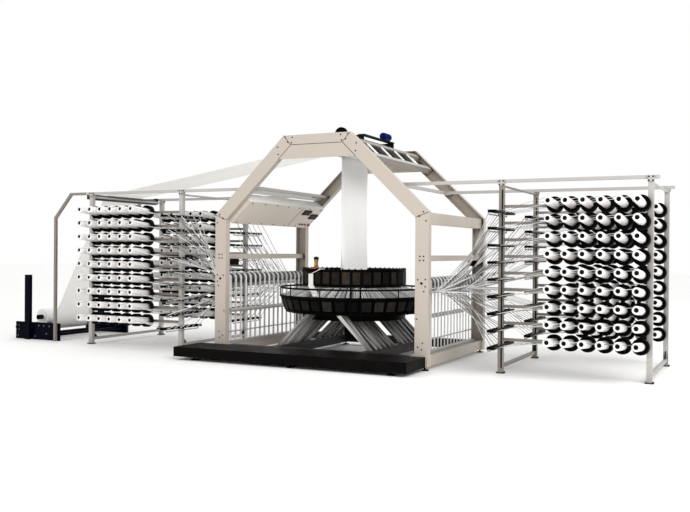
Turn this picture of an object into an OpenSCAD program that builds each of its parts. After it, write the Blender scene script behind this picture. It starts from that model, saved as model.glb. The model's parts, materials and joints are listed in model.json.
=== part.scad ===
// Circular loom for tubular woven cloth: a portal frame over the weaving head,
// tape creels at both sides, and a take-off that leads the flat cloth to a winder.
// The sizes below are set from the axis of the weaving head, which stands on the floor.

/* [Portal frame] */
// Width of a portal over its posts
portal_w = 3068; // [2800:2:3400]
// Depth over both portals
portal_d = 2300; // [2240:2:2600]
// Height of the portals above the floor
portal_h = 2923; // [2850:1:3100]
// Height at which the posts lean inwards
shoulder_h = 1906; // [1850:1:1960]
// Width of a portal between its top corners
portal_top_w = 960; // [900:2:1060]
// Width of the folded post channel
channel_w = 170; // [150:1:190]
// Width of the folded bevel channel
bevel_w = 165; // [150:1:180]
// Depth of the folded channels
channel_d = 95; // [80:1:105]
// Sheet thickness of the folded channels
channel_t = 6; // [4:0.5:8]
// Height of the top channel
top_beam_h = 125; // [110:1:140]
// Height of the plate under the top channel
filler_h = 180; // [140:1:200]
// Width of the beams that tie the portals at the top
roof_beam_w = 60; // [40:1:80]
// Height of the beams that tie the portals at the top
roof_beam_h = 50; // [40:1:54]

/* [Base] */
// Height of the deck above the floor
base_top = 170; // [140:1:200]
// Height of the levelling feet
foot_h = 45; // [30:1:60]
// Width of the base beams
base_beam_w = 110; // [95:1:140]
// Length of the operator platform
platform_w = 3270; // [3000:2:3400]
// Depth of the operator platform
platform_d = 595; // [400:1:800]
// How far the platform is set to the left of the axis
platform_shift = 130; // [0:1:160]
// Sheet thickness of the platform
platform_t = 6; // [3:0.5:10]
// Diameter of a levelling foot
foot_dia = 92; // [60:1:105]
// Diameter of a levelling screw
foot_screw_dia = 24; // [16:1:36]

/* [Control beam and ties] */
// Length of the control beam up the slope
control_h = 415; // [360:1:440]
// Thickness of the control beam
control_t = 155; // [100:1:180]
// Depth of the control beam's outer face below the slope
control_inset = 60; // [20:1:80]
// Travel of the stop button
button_travel = 6; // [3:0.5:8]
// Diameter of the stop button
button_dia = 44; // [30:1:60]
// Side of the square tie tubes at the sides
tie_side = 70; // [40:1:90]
// Height of the tie tubes above the floor
tie_z = 1350; // [1300:1:1450]

/* [Take-off rollers] */
// Radius of the nip rollers
nip_r = 60; // [45:0.5:66]
// Length of the nip rollers
nip_len = 930; // [880:1:960]
// Depth of the nip roller axes below the top of the portals
nip_drop = 55; // [43:1:68]
// Distance of the cheek plates from the axis
cheek_y = 500; // [490:1:540]
// Thickness of the cheek plates
cheek_t = 20; // [12:1:30]
// Radius of the handwheel
handwheel_r = 85; // [60:1:100]
// Diameter of the take-off motor
takeoff_motor_dia = 96; // [70:1:110]

/* [Weaving head] */
// Radius of the drive housing
housing_r = 717; // [705:1:740]
// Height of the underside of the drive housing
housing_z = 510; // [480:1:540]
// Radius of the housing flange
flange_r = 950; // [940:1:970]
// Height of the top of the housing flange
flange_z = 620; // [600:1:640]
// Radius of the guide ring at its rim
rim_r = 1030; // [1020:1:1060]
// Height of the rim of the guide ring
rim_z = 830; // [810:1:845]
// Outer radius of the heald drum
drum_r = 715; // [710:1:722]
// Height of the underside of the heald drum
drum_z = 955; // [951:1:970]
// Height of the heald drum
drum_h = 235; // [200:1:260]
// Number of ribs on the heald drum
drum_ribs = 54; // [36:6:60]
// Number of ribs on the guide ring
ring_ribs = 36; // [24:2:48]
// Radius of the weaving ring
weaving_r = 267; // [250:1:285]
// Height of the weaving ring
weaving_z = 1022; // [1005:1:1040]
// Inner radius of the shuttle race
race_in_r = 440; // [430:1:450]
// Outer radius of the shuttle race
race_out_r = 560; // [545:1:570]
// Number of reed wires in the race
reed_wires = 72; // [36:4:84]
// Number of shuttles
shuttles_n = 4; // [4:2:6]
// Stroke of each heald frame to either side of its middle
heald_stroke = 30; // [15:1:30]
// Number of wires in each heald frame
heald_wires = 36; // [24:6:48]
// Radius of the main shaft
shaft_r = 45; // [40:0.5:60]

/* [Tape inlets] */
// Radius of the feed rollers
feed_r = 68; // [55:0.5:72]
// Height of the feed roller axes
feed_z = 1050; // [1030:1:1080]
// Number of tape ribbons on each side
ribbons = 17; // [12:1:18]
// Width of a tape ribbon
ribbon_w = 52; // [30:1:60]
// Thickness of a tape ribbon
ribbon_t = 3; // [2:0.5:4]
// Height of the middle guide tube
mid_tube_z = 620; // [560:1:680]
// Diameter of the middle guide tube
mid_tube_dia = 55; // [40:1:65]

/* [Creels] */
// Distance of the inner creel posts from the axis
creel_in_x = 2335; // [2200:1:2450]
// Distance of the outer creel posts from the axis
creel_out_x = 4010; // [3990:1:4100]
// Distance of the creel posts from the middle plane
creel_y = 828; // [800:1:860]
// Height of the creels
creel_h = 2292; // [2240:1:2340]
// Side of the creel posts
creel_post = 60; // [50:1:70]
// Side of the creel top rails
creel_rail = 40; // [30:1:50]
// Rows of bobbins
bobbin_rows = 9; // [5:1:9]
// Bobbins in a row
bobbin_columns = 6; // [3:1:6]
// Height of the lowest row of bobbins
first_row_z = 400; // [380:1:420]
// Height from row to row
row_pitch = 196.6; // [190:0.2:200]
// Distance of the first column from the axis
first_column_x = 2935; // [2860:1:2950]
// Distance from column to column
column_pitch = 189; // [184:0.5:192]
// Radius of the disc behind a bobbin
disc_r = 93; // [75:0.5:93.5]
// Radius of a full bobbin
bobbin_r = 47; // [44:0.5:60]
// Length of a full bobbin
bobbin_len = 420; // [300:1:430]
// Radius of a bobbin spindle
spindle_r = 26; // [18:0.5:27]
// Upward tilt of the spindles in degrees
spindle_tilt = 4.5; // [2:0.5:8]
// Length of a guide bar
guide_len = 860; // [700:2:900]

/* [Cloth and winder] */
// Width of the flat cloth
cloth_w = 830; // [780:1:860]
// Thickness of the cloth
cloth_t = 3; // [2:0.5:4]
// Distance of the top guide roller from the axis
guide_x = 4110; // [4095:1:4200]
// Depth of the top guide roller's axis below the top of the creels
guide_below = 67; // [52:1:92]
// Radius of the top guide roller
guide_r = 45; // [30:0.5:50]
// Distance of the right winder drum from the axis
drum_x = 5325; // [5250:1:5350]
// Distance between the winder drums
drum_gap = 250; // [230:1:270]
// Height of the winder drums
winder_z = 180; // [150:1:190]
// Radius of the winder drums
winder_r = 55; // [45:0.5:60]
// Radius of the cloth roll
roll_r = 130; // [100:0.5:170]
// Length of the winder side panels
panel_len = 930; // [800:1:1000]
// Height of the winder side panels
panel_h = 270; // [255:1:320]
// Distance of the winder side panels from the middle plane
panel_y = 780; // [740:1:790]

/* [Hidden] */
$fn = 48;
// Running clearance of a shaft in its bore
run_fit = 0.05;
// Clearance between a moving face and a still one
clear = 0.5;
// Overrun of a cut
over = 1;

// Portal outline
half_w = portal_w / 2;
half_top = portal_top_w / 2;
bevel_run = half_top - half_w;
bevel_rise = portal_h - shoulder_h;
bevel_len = sqrt(bevel_run * bevel_run + bevel_rise * bevel_rise);
bevel_dir = [bevel_run, bevel_rise] / bevel_len;
bevel_in = [-bevel_rise, bevel_run] / bevel_len;
post_x = half_w - channel_w / 2;
half_d = portal_d / 2;
edge_y = half_d - channel_d;
web_y = half_d - channel_t;
fold_share = channel_t / channel_w;

// Point on the right-hand slope at a length up it and a depth below it
function slope(up, depth) = [half_w, shoulder_h] + up * bevel_dir + depth * bevel_in;
function slope_z(x, depth) = shoulder_h + depth * bevel_in[1]
    + (x - half_w - depth * bevel_in[0]) / bevel_run * bevel_rise;
function slope_x(z, depth) = half_w + depth * bevel_in[0]
    + (z - shoulder_h - depth * bevel_in[1]) / bevel_rise * bevel_run;
// Corners of the right half of a portal at a share of the channel width from its outer edge
function foot_pt(share) = [half_w - share * channel_w, base_top];
function knee_pt(share) = [half_w - share * channel_w, slope_z(half_w - share * channel_w, share * bevel_w)];
function crown_pt(share) = [slope_x(portal_h - share * top_beam_h, share * bevel_w),
                            portal_h - share * top_beam_h];
function flip(p) = [-p[0], p[1]];

// Base
base_h = base_top - foot_h;
foot_pad_h = foot_h / 4;
platform_rib = foot_dia * 2 / 3;
platform_foot_shares = [0.08, 0.52, 0.93];
platform_left = -platform_w / 2 - platform_shift;
platform_front = -half_d - platform_d;
leg_foot_x = 660;
leg_top_x = 220;
leg_w = 70;
leg_t = 30;
last_leg_y = 900;
outer_leg_shares = [1, 5 / 6];
inner_leg_shares = [4 / 6, 3 / 6, 2 / 6, 1 / 6];

// Control beam
control_up = 62;
control_face = control_inset + control_t;
screen_t = 12;
screen_len = 200;
screen_h = 75;
screen_up_shares = [0.495, 0.664];
screen_y_shares = [0.88, 0.607];
button_h = 18;
button_stem_r = button_dia / 4;
button_up_share = 0.16;
button_y_share = 0.945;
button_up = control_up + button_up_share * control_h;
button_y = button_y_share * edge_y;
button_pocket = button_travel + button_h;
shoulder_beam_h = 140;
shoulder_beam_w = 90;
feed_motor_w = 150;
feed_motor_h = 80;
feed_motor_len = 240;

// Take-off
nip_x = nip_r + clear + cloth_t / 2;
nip_z = portal_h - nip_drop;
nip_journal_r = nip_r / 3;
roof_set_in = 84;
roof_x = half_top - roof_set_in;
roof_z = portal_h - top_beam_h;
rack_beam = 60;
rack_reach = 265;
rack_high = bevel_len - 2 * rack_beam;
rack_low = rack_high - rack_reach;
rack_in = 30;
rack_out = 110;
rack_plate_t = 10;
rack_plate_shares = [-0.72, -0.3, 0.12, 0.54];
rack_box = 180;
lid_h = 130;
cheek_rise = 50;
cheek_drop = 60;
cheek_top = portal_h + cheek_rise;
cheek_bottom = roof_z - cheek_drop;
jack_x = 260;
jack_rise = 7;
jack_z = portal_h + jack_rise;
jack_r = 14;
handwheel_y = -950;
handwheel_w = 36;
handwheel_bore_gap = run_fit;
jack_end = 60;
motor_plate_t = 10;
takeoff_motor_len = 210;
takeoff_motor_x = 330;
takeoff_motor_y = 300;
motor_foot_h = 10;

// Weaving head
housing_wall = 17;
housing_floor = 25;
hub_r = 110;
hub_top = 700;
flange_t = 20;
flange_lip_r = 640;
column_r = 24;
shaft_bore_r = 26;
shaft_lift = 2;
shaft_bottom = housing_z + shaft_lift;
carrier_z = 840;
carrier_h = 50;
carrier_arm_t = 30;
carrier_arm_w = 60;
carrier_hub_r = 112;
shaft_top = carrier_z + carrier_h;
shuttle_in_r = 345;
shuttle_out_r = 428;
shuttle_z = 925;
shuttle_h = 88;
shuttle_sweep = 52;
shuttle_cradle = 16;
shuttle_end_drop = 34;
pusher_r = shuttle_out_r - shuttle_end_drop;
race_z = 900;
race_t = 15;
race_top_z = 1030;
race_leg_r = 15;
race_legs = 6;
reed_r = 4;
reed_set_in = 14;
reed_circle_r = race_out_r - reed_set_in;
weaving_wire_r = 12;
spider_arm = 20;
spider_hub_r = 58;
guide_rod_r = 8;
guide_set_out = 11;
guide_circle_r = flange_lip_r + guide_set_out;
guide_rods = 3;
heald_wire_r = 4;
heald_bar = 12;
heald_bar_h = 15;
heald_lug_r = 17;
heald_lug_h = 40;
inner_heald_r = 590;
heald_spacing = 10;
outer_heald_r = inner_heald_r + heald_bar + heald_spacing;
inner_heald_z = 700;
outer_heald_z = inner_heald_z + 2 * heald_stroke + heald_lug_h + 2 * heald_spacing;
heald_top_z = 1100;
drum_wall = 12;
drum_rim = 12;
drum_rim_out = 7;
drum_shelf_w = 55;
drum_shelf_r = drum_r - drum_shelf_w;
drum_rib_w = 16;
drum_rib_out = 5;
drum_column_r = 18;
drum_columns_n = 6;
drum_column_margin = 5;
drum_column_circle = drum_shelf_r + drum_column_r + drum_column_margin;
ring_wall = 12;
rim_out = 18;
ring_top_r = rim_r - rim_out;
ring_seat_w = 50;
ring_seat_r = flange_r - ring_seat_w;
ring_rib_w = 12;
ring_rib_out = 12;
rim_h = 26;
rim_w = 40;
rim_in_r = rim_r - rim_w;
sheet_t = 5;
sheet_seat_r = rim_r - rim_w * 3 / 4;
sheet_out_r = rim_r - rim_w / 2;
sheet_in_gap = 10;
sheet_in_r = drum_r + sheet_in_gap;
sheet_in_z = drum_z - sheet_in_gap;
sheet_gaps = 72;
sheet_gap_w = 8;
sheet_gap_margin = 18;
rail_wire_r = 9;
rail_r = rim_r - rail_wire_r;
rail_rise = 100;
rail_z = rim_z + rail_rise;
rail_posts = 12;
gate_rod_r = 10;
gate_gap = 5;
gate_r = rim_r + gate_rod_r + gate_gap;
gate_angles = [-66.8, -59.7];
gate_bottom = 575;
gate_top = drum_z + drum_h;
cup_r = 30;
cup_h = 140;
cup_angle = -110.7;
bracket_w = 76;
bracket_t = 6;
bracket_angle = -100;
bracket_out = 130;
bracket_drop = 150;
bracket_swing = 7;
bracket_mid_r = drum_r + bracket_out;
main_motor_r = 120;
main_motor_flange_r = 160;
main_motor_flange_t = 20;
main_motor_len = 250;
main_motor_fins = 24;
main_motor_fin_out = 10;
main_motor_fin_w = 5;
fan_cover_r = 128;
fan_cover_h = 40;

// Tape inlets
feed_journal_r = 20;
feed_block = 130;
feed_block_t = 40;
feed_block_gap = 12;
ribbon_r = feed_r + clear;
ribbon_span = 2 * edge_y - 2 * ribbon_w;
ribbon_pitch = ribbon_span / (ribbons - 1);
comb_side = 40;
comb_gap = 10;
comb_z = feed_z - feed_r - comb_side - comb_gap;
rod_r = 9;
rod_z = 330;
tube_gap = clear;
tube_x = post_x - ribbon_r - ribbon_t - tube_gap - mid_tube_dia / 2;
hem_out = 15;
hem_h = 30;
hem_top = base_top + hem_h;
collect_r = 15;
collect_x = half_w + collect_r;
collect_z = 945;
tape_r = 2;
tape_end_gap = 0.3;
tapes_a_bar = 4;

// Creels
bobbin_rail_d = 30;
bobbin_rail_h = 35;
creel_tie_x = slope_x(creel_h, bevel_w / 2);
guide_z = creel_h - guide_below;
creel_tie_w = 50;
bent_top_x = 4440;
bent_foot_x = 4770;
bent_z = 1920;
bend_upper = atan2(creel_h - bent_z, bent_foot_x - bent_top_x);
floor_bar = 40;
floor_bar_z = 60;
cross_rod_r = 14;
cross_rod_drop = 20;
cross_rod_z = creel_h - creel_rail - cross_rod_r - cross_rod_drop;
disc_t = 8;
disc_back = 24;
seat_gap = 0.2;
spindle_seat = spindle_r * sin(spindle_tilt) + seat_gap;
bobbin_bore_r = spindle_r + tape_end_gap;
bobbin_start = disc_back + disc_t + seat_gap;
bobbin_edge = 10;
spindle_short = 14;
spindle_len = bobbin_start + bobbin_len - spindle_short;
column_shift = 45;
partial_share = 0.85;
partial_r = partial_share * bobbin_r;
guide_bar_t = 14;
guide_bar_h = 30;
guide_drop = 70;
guide_seat = creel_post / 2 + seat_gap;
guide_face = guide_seat + guide_bar_t;

// Winder
cloth_gap = clear;
panel_t = 24;
panel_x = -drum_x - drum_gap - winder_r;
drum_journal_r = 18;
drum_end_gap = 14;
roll_centre_gap = winder_r + roll_r + cloth_t + 2 * cloth_gap;
roll_x = -drum_x - drum_gap / 2;
roll_z = winder_z + sqrt(roll_centre_gap * roll_centre_gap - drum_gap * drum_gap / 4);
roll_core_r = 38;
roll_core_out = 90;
winder_post_w = 100;
winder_post_d = 60;
winder_post_x = -5330;
winder_post_top = 1020;
winder_tie_r = 22;
guide_journal_r = 12;
guide_block_w = 60;
guide_block_t = 40;
guide_block_h = 100;

// Cloth path: over the left nip roller, over the top guide roller, then under the right drum
nip_c = [-nip_x, nip_z];
guide_c = [-guide_x, guide_z];
drum_c = [-drum_x, winder_z];
nip_wrap = nip_r + clear;
guide_wrap = guide_r + clear;
drum_wrap = winder_r + clear;
side_reach = guide_wrap + drum_wrap + cloth_t;
function bearing_of(v) = atan2(v[1], v[0]);
function ray_at(angle) = [cos(angle), sin(angle)];
over_angle = 360 + bearing_of(guide_c - nip_c) - acos((nip_wrap - guide_wrap) / norm(guide_c - nip_c));
down_angle = 360 + bearing_of(drum_c - guide_c) - acos(side_reach / norm(drum_c - guide_c));
top_angle = over_angle > 360 ? over_angle - 360 : over_angle;
side_angle = down_angle > 360 ? down_angle - 360 : down_angle;
roll_angle = bearing_of([roll_x, roll_z] - drum_c);
tube_top_gap = 90;
tube_top_z = nip_z - nip_r - tube_top_gap;
tube_rings = 11;
tube_sides = 40;
tube_bottom_z = weaving_z + weaving_wire_r + tape_end_gap;
// Angle between the points of a wrap of cloth
wrap_step = 6;

// Whole part: from the winder's end to the right creel's end, and from the platform to the guide bars
rail_overhang = 60;
right_end = creel_out_x + creel_post / 2 + rail_overhang;
far_end = creel_y + guide_len / 2;
shift = [-(right_end + panel_x) / 2, -(far_end + platform_front) / 2, 0];

steel_black = "#1b1b1d";
frame_beige = "#cfc6bc";
tube_grey = "#b9bbbd";
tape_white = "#f1f0ec";
navy = "#10142e";

// Shared shapes
module box(low, high) {
  translate(low) cube(high - low);
}

module along_y(r, y0, y1) {
  translate([0, y0, 0]) rotate([-90, 0, 0]) cylinder(r = r, h = y1 - y0);
}

module upright(points, depth) {
  rotate([90, 0, 0]) linear_extrude(height = depth) polygon(points);
}

module centred_upright(points, depth) {
  translate([0, depth / 2, 0]) upright(points, depth);
}

module both_sides() {
  children();
  mirror([1, 0, 0]) children();
}

module both_ends() {
  children();
  mirror([0, 1, 0]) children();
}

module around(count, start = 0) {
  for (i = [0 : count - 1]) rotate(start + i * 360 / count) children();
}

module ring(r_in, r_out, z, h) {
  rotate_extrude() translate([r_in, z]) square([r_out - r_in, h]);
}

// Flat strip from one point to another, as wide as w across the run
module strip(p, q, w, t) {
  d = q - p;
  flat = norm([d[0], d[1]]);
  translate(p)
    rotate([0, -atan2(d[2], flat), atan2(d[1], d[0])])
      translate([0, -w / 2, -t / 2]) cube([norm(d), w, t]);
}

// Round rod from one point to another
module rod(p, q, r) {
  d = q - p;
  flat = norm([d[0], d[1]]);
  translate(p) rotate([0, atan2(flat, d[2]), atan2(d[1], d[0])]) cylinder(r = r, h = norm(d), $fn = 16);
}

// Roller along Y with a journal at each end
module roller(r, half_len, journal_r, journal_end) {
  along_y(r, -half_len, half_len);
  along_y(journal_r, -journal_end, journal_end);
}

// Folded channel between two corners, each given at the outer edge and at the inner edge
module channel(a, a_in, b, b_in, a_fold, a_fold_in, b_fold, b_fold_in) {
  translate([0, half_d, 0]) {
    upright([a, b, b_in, a_in], channel_t);
    upright([a, b, b_fold, a_fold], channel_d);
    upright([a_fold_in, b_fold_in, b_in, a_in], channel_d);
  }
}

module placed() {
  translate(shift) children();
}

// Base
module operator_platform() placed() color(steel_black) {
  back = -half_d;
  difference() {
    box([platform_left, platform_front, foot_h], [platform_left + platform_w, back, base_top]);
    box([platform_left + platform_t, platform_front + platform_t, foot_h - over],
        [platform_left + platform_w - platform_t, back - platform_t, base_top - platform_t]);
  }
  for (s = platform_foot_shares)
    translate([platform_left + s * platform_w - platform_rib / 2, platform_front + platform_t / 2, foot_h])
      cube([platform_rib, platform_d - platform_t, base_h - platform_t / 2]);
}

module base_beams() placed() color(steel_black) {
  both_ends() box([-half_w, half_d - base_beam_w, foot_h], [half_w, half_d, base_top]);
  for (x = [post_x, leg_foot_x])
    both_sides()
      box([x - base_beam_w / 2, base_beam_w - half_d, foot_h],
          [x + base_beam_w / 2, half_d - base_beam_w, base_top]);
}

module levelling_foot() {
  cylinder(d = foot_dia, h = foot_pad_h);
  cylinder(d = foot_screw_dia, h = foot_h);
}

module levelling_feet() placed() color(steel_black) {
  for (s = platform_foot_shares)
    translate([platform_left + s * platform_w, platform_front + foot_dia, 0]) levelling_foot();
  both_sides() both_ends() {
    translate([half_w - base_beam_w / 2, half_d - base_beam_w / 2, 0]) levelling_foot();
    translate([leg_foot_x, half_d - base_beam_w / 2, 0]) levelling_foot();
  }
}

// Portals
module post() {
  channel(foot_pt(0), foot_pt(1), knee_pt(0), knee_pt(1),
          foot_pt(fold_share), foot_pt(1 - fold_share), knee_pt(fold_share), knee_pt(1 - fold_share));
}

module rear_right_post() placed() color(frame_beige) post();

module rear_left_post() placed() color(frame_beige) mirror([1, 0, 0]) post();

module front_right_post() placed() color(frame_beige) mirror([0, 1, 0]) post();

module front_left_post() placed() color(frame_beige) mirror([0, 1, 0]) mirror([1, 0, 0]) post();

module portal_bevels() placed() color(frame_beige) both_ends() both_sides()
  channel(knee_pt(0), knee_pt(1), crown_pt(0), crown_pt(1),
          knee_pt(fold_share), knee_pt(1 - fold_share), crown_pt(fold_share), crown_pt(1 - fold_share));

module portal_top_beams() placed() color(frame_beige) both_ends()
  channel(flip(crown_pt(0)), flip(crown_pt(1)), crown_pt(0), crown_pt(1),
          flip(crown_pt(fold_share)), flip(crown_pt(1 - fold_share)),
          crown_pt(fold_share), crown_pt(1 - fold_share));

// Plate that closes the corner between the bevels under the top channel
module filler_panels() placed() color(frame_beige) both_ends() {
  low_z = portal_h - top_beam_h - filler_h;
  top = crown_pt(1);
  low = [slope_x(low_z, bevel_w), low_z];
  translate([0, half_d, 0]) upright([flip(top), top, low, flip(low)], channel_t);
}

// Block in the plane of the right slope, between two lengths up it and two depths below it
module slope_block(up0, up1, depth0, depth1, y0, y1) {
  translate([0, y1, 0])
    upright([slope(up0, depth0), slope(up1, depth0), slope(up1, depth1), slope(up0, depth1)], y1 - y0);
}

module roof_beams() placed() color(steel_black) {
  both_sides()
    box([roof_x - roof_beam_w / 2, -edge_y, roof_z],
        [roof_x + roof_beam_w / 2, edge_y, roof_z + roof_beam_h]);
  for (up = [rack_low, rack_high]) slope_block(up, up + rack_beam, rack_in, rack_out, -web_y, web_y);
}

// Plates and drive boxes of the open rack in the upper right slope, and the lid above the control beam
module roof_plates() placed() color("#e4e3df") {
  lid_up = control_up + control_h;
  difference() {
    control_block(lid_up, lid_up + lid_h, rack_in, rack_in + rack_plate_t, -web_y, web_y);
    both_ends()
      box([-half_w, creel_y - creel_rail / 2 - clear, creel_h - creel_rail - clear],
          [-creel_tie_x, creel_y + creel_rail / 2 + clear, creel_h + clear]);
  }
  for (share = rack_plate_shares) rack_plate(share * edge_y);
}

module rack_plate(y) {
  start = rack_low + rack_beam + seat_gap;
  slope_block(start, rack_high - seat_gap, rack_in + rack_plate_t, rack_out - rack_plate_t,
              y - rack_plate_t / 2, y + rack_plate_t / 2);
  slope_block(start, start + rack_box, rack_in + 2 * rack_plate_t,
              rack_out - 2 * rack_plate_t, y + rack_plate_t / 2, y + rack_plate_t / 2 + rack_box);
}

// Control beam along the left slope
module control_block(up0, up1, depth0, depth1, y0, y1) {
  mirror([1, 0, 0]) slope_block(up0, up1, depth0, depth1, y0, y1);
}

// Button axis: square to the face of the control beam
module on_control_face(up, y) {
  p = flip(slope(up, control_face));
  translate([p[0], y, p[1]]) rotate([0, 90 + atan2(-bevel_in[1], -bevel_in[0]), 0]) children();
}

module control_beam() placed() color(frame_beige) difference() {
  control_block(control_up, control_up + control_h, control_inset, control_face, -edge_y, edge_y);
  on_control_face(button_up, button_y)
    translate([0, 0, -button_pocket]) cylinder(r = button_stem_r + run_fit, h = button_pocket + over);
}

module control_screens() placed() color("#15171c") for (i = [0, 1]) {
  up = control_up + screen_up_shares[i] * control_h;
  y = screen_y_shares[i] * edge_y;
  control_block(up, up + screen_h, control_face + seat_gap, control_face + screen_t,
                y - screen_len / 2, y + screen_len / 2);
}

module stop_button() placed() color("#b3141c") on_control_face(button_up, button_y) {
  translate([0, 0, -button_pocket + button_travel + clear])
    cylinder(r = button_stem_r, h = button_pocket + button_h / 2);
  translate([0, 0, button_travel + clear]) cylinder(d = button_dia, h = button_h);
}

module side_ties() placed() color(frame_beige) {
  both_sides()
    box([post_x - tie_side / 2, -web_y, tie_z - tie_side / 2],
        [post_x + tie_side / 2, web_y, tie_z + tie_side / 2]);
  box([post_x - shoulder_beam_w / 2, -web_y, shoulder_h - shoulder_beam_h],
      [post_x + shoulder_beam_w / 2, web_y, shoulder_h]);
}

module feed_motors() placed() color(steel_black) for (turn = [0, 180]) rotate(turn) {
  top = tie_z - tie_side / 2;
  box([post_x - feed_motor_w / 2, edge_y - feed_motor_len, top - feed_motor_h],
      [post_x + feed_motor_w / 2, edge_y, top]);
}

// Take-off rollers in the roof
module takeoff_cheeks() placed() color("#e4e3df") {
  inner_x = roof_x - roof_beam_w / 2;
  both_ends() difference() {
    box([-inner_x, cheek_y - cheek_t / 2, cheek_bottom], [inner_x, cheek_y + cheek_t / 2, cheek_top]);
    both_sides() translate([nip_x, 0, nip_z])
      along_y(nip_journal_r + run_fit, cheek_y - cheek_t, cheek_y + cheek_t);
    translate([jack_x, 0, jack_z]) along_y(jack_r + run_fit, cheek_y - cheek_t, cheek_y + cheek_t);
    box([-inner_x - over, cheek_y - cheek_t, nip_z + nip_r / 2],
        [-nip_x - nip_r, cheek_y + cheek_t, cheek_top + over]);
  }
  box([takeoff_motor_x - takeoff_motor_dia / 2, -cheek_y - cheek_t / 2, cheek_top],
      [takeoff_motor_x + takeoff_motor_dia / 2, cheek_y + cheek_t / 2, cheek_top + motor_plate_t]);
}

module left_nip_roller() placed() color(steel_black) translate([-nip_x, 0, nip_z])
  roller(nip_r, nip_len / 2, nip_journal_r, cheek_y + cheek_t / 2);

module right_nip_roller() placed() color(steel_black) translate([nip_x, 0, nip_z])
  roller(nip_r, nip_len / 2, nip_journal_r, cheek_y + cheek_t / 2);

module takeoff_shaft() placed() color("#8d9094") translate([jack_x, 0, jack_z])
  along_y(jack_r, handwheel_y - handwheel_w, cheek_y + jack_end);

module handwheel() placed() color(steel_black) translate([jack_x, handwheel_y + handwheel_w / 2, jack_z])
  rotate([90, 0, 0]) rotate_extrude() difference() {
    translate([jack_r + handwheel_bore_gap, 0])
      square([handwheel_r - jack_r - handwheel_bore_gap, handwheel_w]);
    for (z = [-handwheel_w / 3, handwheel_w * 2 / 3])
      translate([jack_r * 2, z]) square([handwheel_r * 0.58, handwheel_w * 2 / 3]);
  }

module takeoff_motor() placed() color("#1a2560")
  translate([takeoff_motor_x, takeoff_motor_y, cheek_top + motor_plate_t]) {
    axis_z = motor_foot_h + takeoff_motor_dia / 2;
    translate([0, 0, axis_z]) along_y(takeoff_motor_dia / 2, -takeoff_motor_len / 2, takeoff_motor_len / 2);
    translate([0, 0, axis_z]) along_y(takeoff_motor_dia / 4, -takeoff_motor_len * 0.62, 0);
    for (i = [-3 : 3]) translate([0, i * takeoff_motor_len / 9, axis_z])
      along_y(takeoff_motor_dia * 0.54, 0, takeoff_motor_len / 26);
    box([-takeoff_motor_dia * 0.4, -takeoff_motor_len / 3, 0],
        [takeoff_motor_dia * 0.4, takeoff_motor_len / 3, axis_z]);
  }

// Weaving head
module splayed_leg(top_z) {
  top_x = leg_foot_x + (top_z - base_top) / (flange_z - flange_t - base_top) * (leg_top_x - leg_foot_x);
  centred_upright([[leg_foot_x - leg_w / 2, base_top], [leg_foot_x + leg_w / 2, base_top],
                   [top_x + leg_w / 2, top_z], [top_x - leg_w / 2, top_z]], leg_t);
}

module stand_legs() placed() color(tube_grey) both_sides() both_ends() {
  for (share = outer_leg_shares) translate([0, share * last_leg_y, 0]) splayed_leg(flange_z - flange_t);
  for (share = inner_leg_shares) translate([0, share * last_leg_y, 0]) splayed_leg(housing_z);
}

module drive_housing() placed() color(steel_black) rotate_extrude() {
  bore = shaft_r + run_fit;
  floor_top = housing_z + housing_floor;
  flange_low = flange_z - flange_t;
  polygon([[bore, housing_z], [housing_r, housing_z], [housing_r, flange_low], [flange_r, flange_low],
           [flange_r, flange_z], [flange_lip_r, flange_z], [flange_lip_r, flange_low],
           [housing_r - housing_wall, flange_low], [housing_r - housing_wall, floor_top],
           [hub_r, floor_top], [hub_r, hub_top], [bore, hub_top]]);
}

module main_motor() placed() color("#2a2d33") {
  low = housing_z - main_motor_flange_t;
  body_low = low - main_motor_len;
  translate([0, 0, low]) cylinder(r = main_motor_flange_r, h = main_motor_flange_t);
  translate([0, 0, body_low]) cylinder(r = main_motor_r, h = main_motor_len);
  translate([0, 0, body_low - fan_cover_h])
    cylinder(r1 = fan_cover_r * 0.9, r2 = fan_cover_r, h = fan_cover_h);
  around(main_motor_fins)
    box([main_motor_r - main_motor_fin_out, -main_motor_fin_w / 2, body_low + main_motor_fin_out],
        [main_motor_r + main_motor_fin_out, main_motor_fin_w / 2, low - main_motor_fin_out]);
}

module ring_column() placed() color("#9a9da1")
  translate([0, 0, housing_z]) cylinder(r = column_r, h = weaving_z + weaving_wire_r - housing_z);

module main_shaft() placed() color("#9a9da1")
  ring(shaft_bore_r, shaft_r, shaft_bottom, shaft_top - shaft_bottom);

module shuttle_carrier() placed() color("#3a3d42") {
  ring(shaft_r + run_fit, carrier_hub_r, carrier_z, carrier_h);
  around(shuttles_n) {
    box([carrier_hub_r - carrier_arm_w / 2, -carrier_arm_w / 2, carrier_z],
        [pusher_r + carrier_arm_t, carrier_arm_w / 2, carrier_z + carrier_arm_t]);
    box([pusher_r, -carrier_arm_w / 2, carrier_z],
        [pusher_r + carrier_arm_t, carrier_arm_w / 2, shuttle_z]);
  }
}

// Boat that carries the weft: a curved trough with a rounded back
module shuttles() placed() color("#8f8a7e") around(shuttles_n, -shuttle_sweep / 2)
  rotate_extrude(angle = shuttle_sweep) difference() {
    translate([shuttle_in_r, shuttle_z]) square([shuttle_out_r - shuttle_in_r, shuttle_h]);
    translate([shuttle_in_r + shuttle_cradle, shuttle_z + shuttle_cradle])
      square([shuttle_out_r - shuttle_in_r - 2 * shuttle_cradle, shuttle_h]);
    translate([shuttle_in_r - over, shuttle_z + shuttle_h - shuttle_end_drop])
      square([shuttle_cradle + 2 * over, shuttle_h]);
  }

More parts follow.
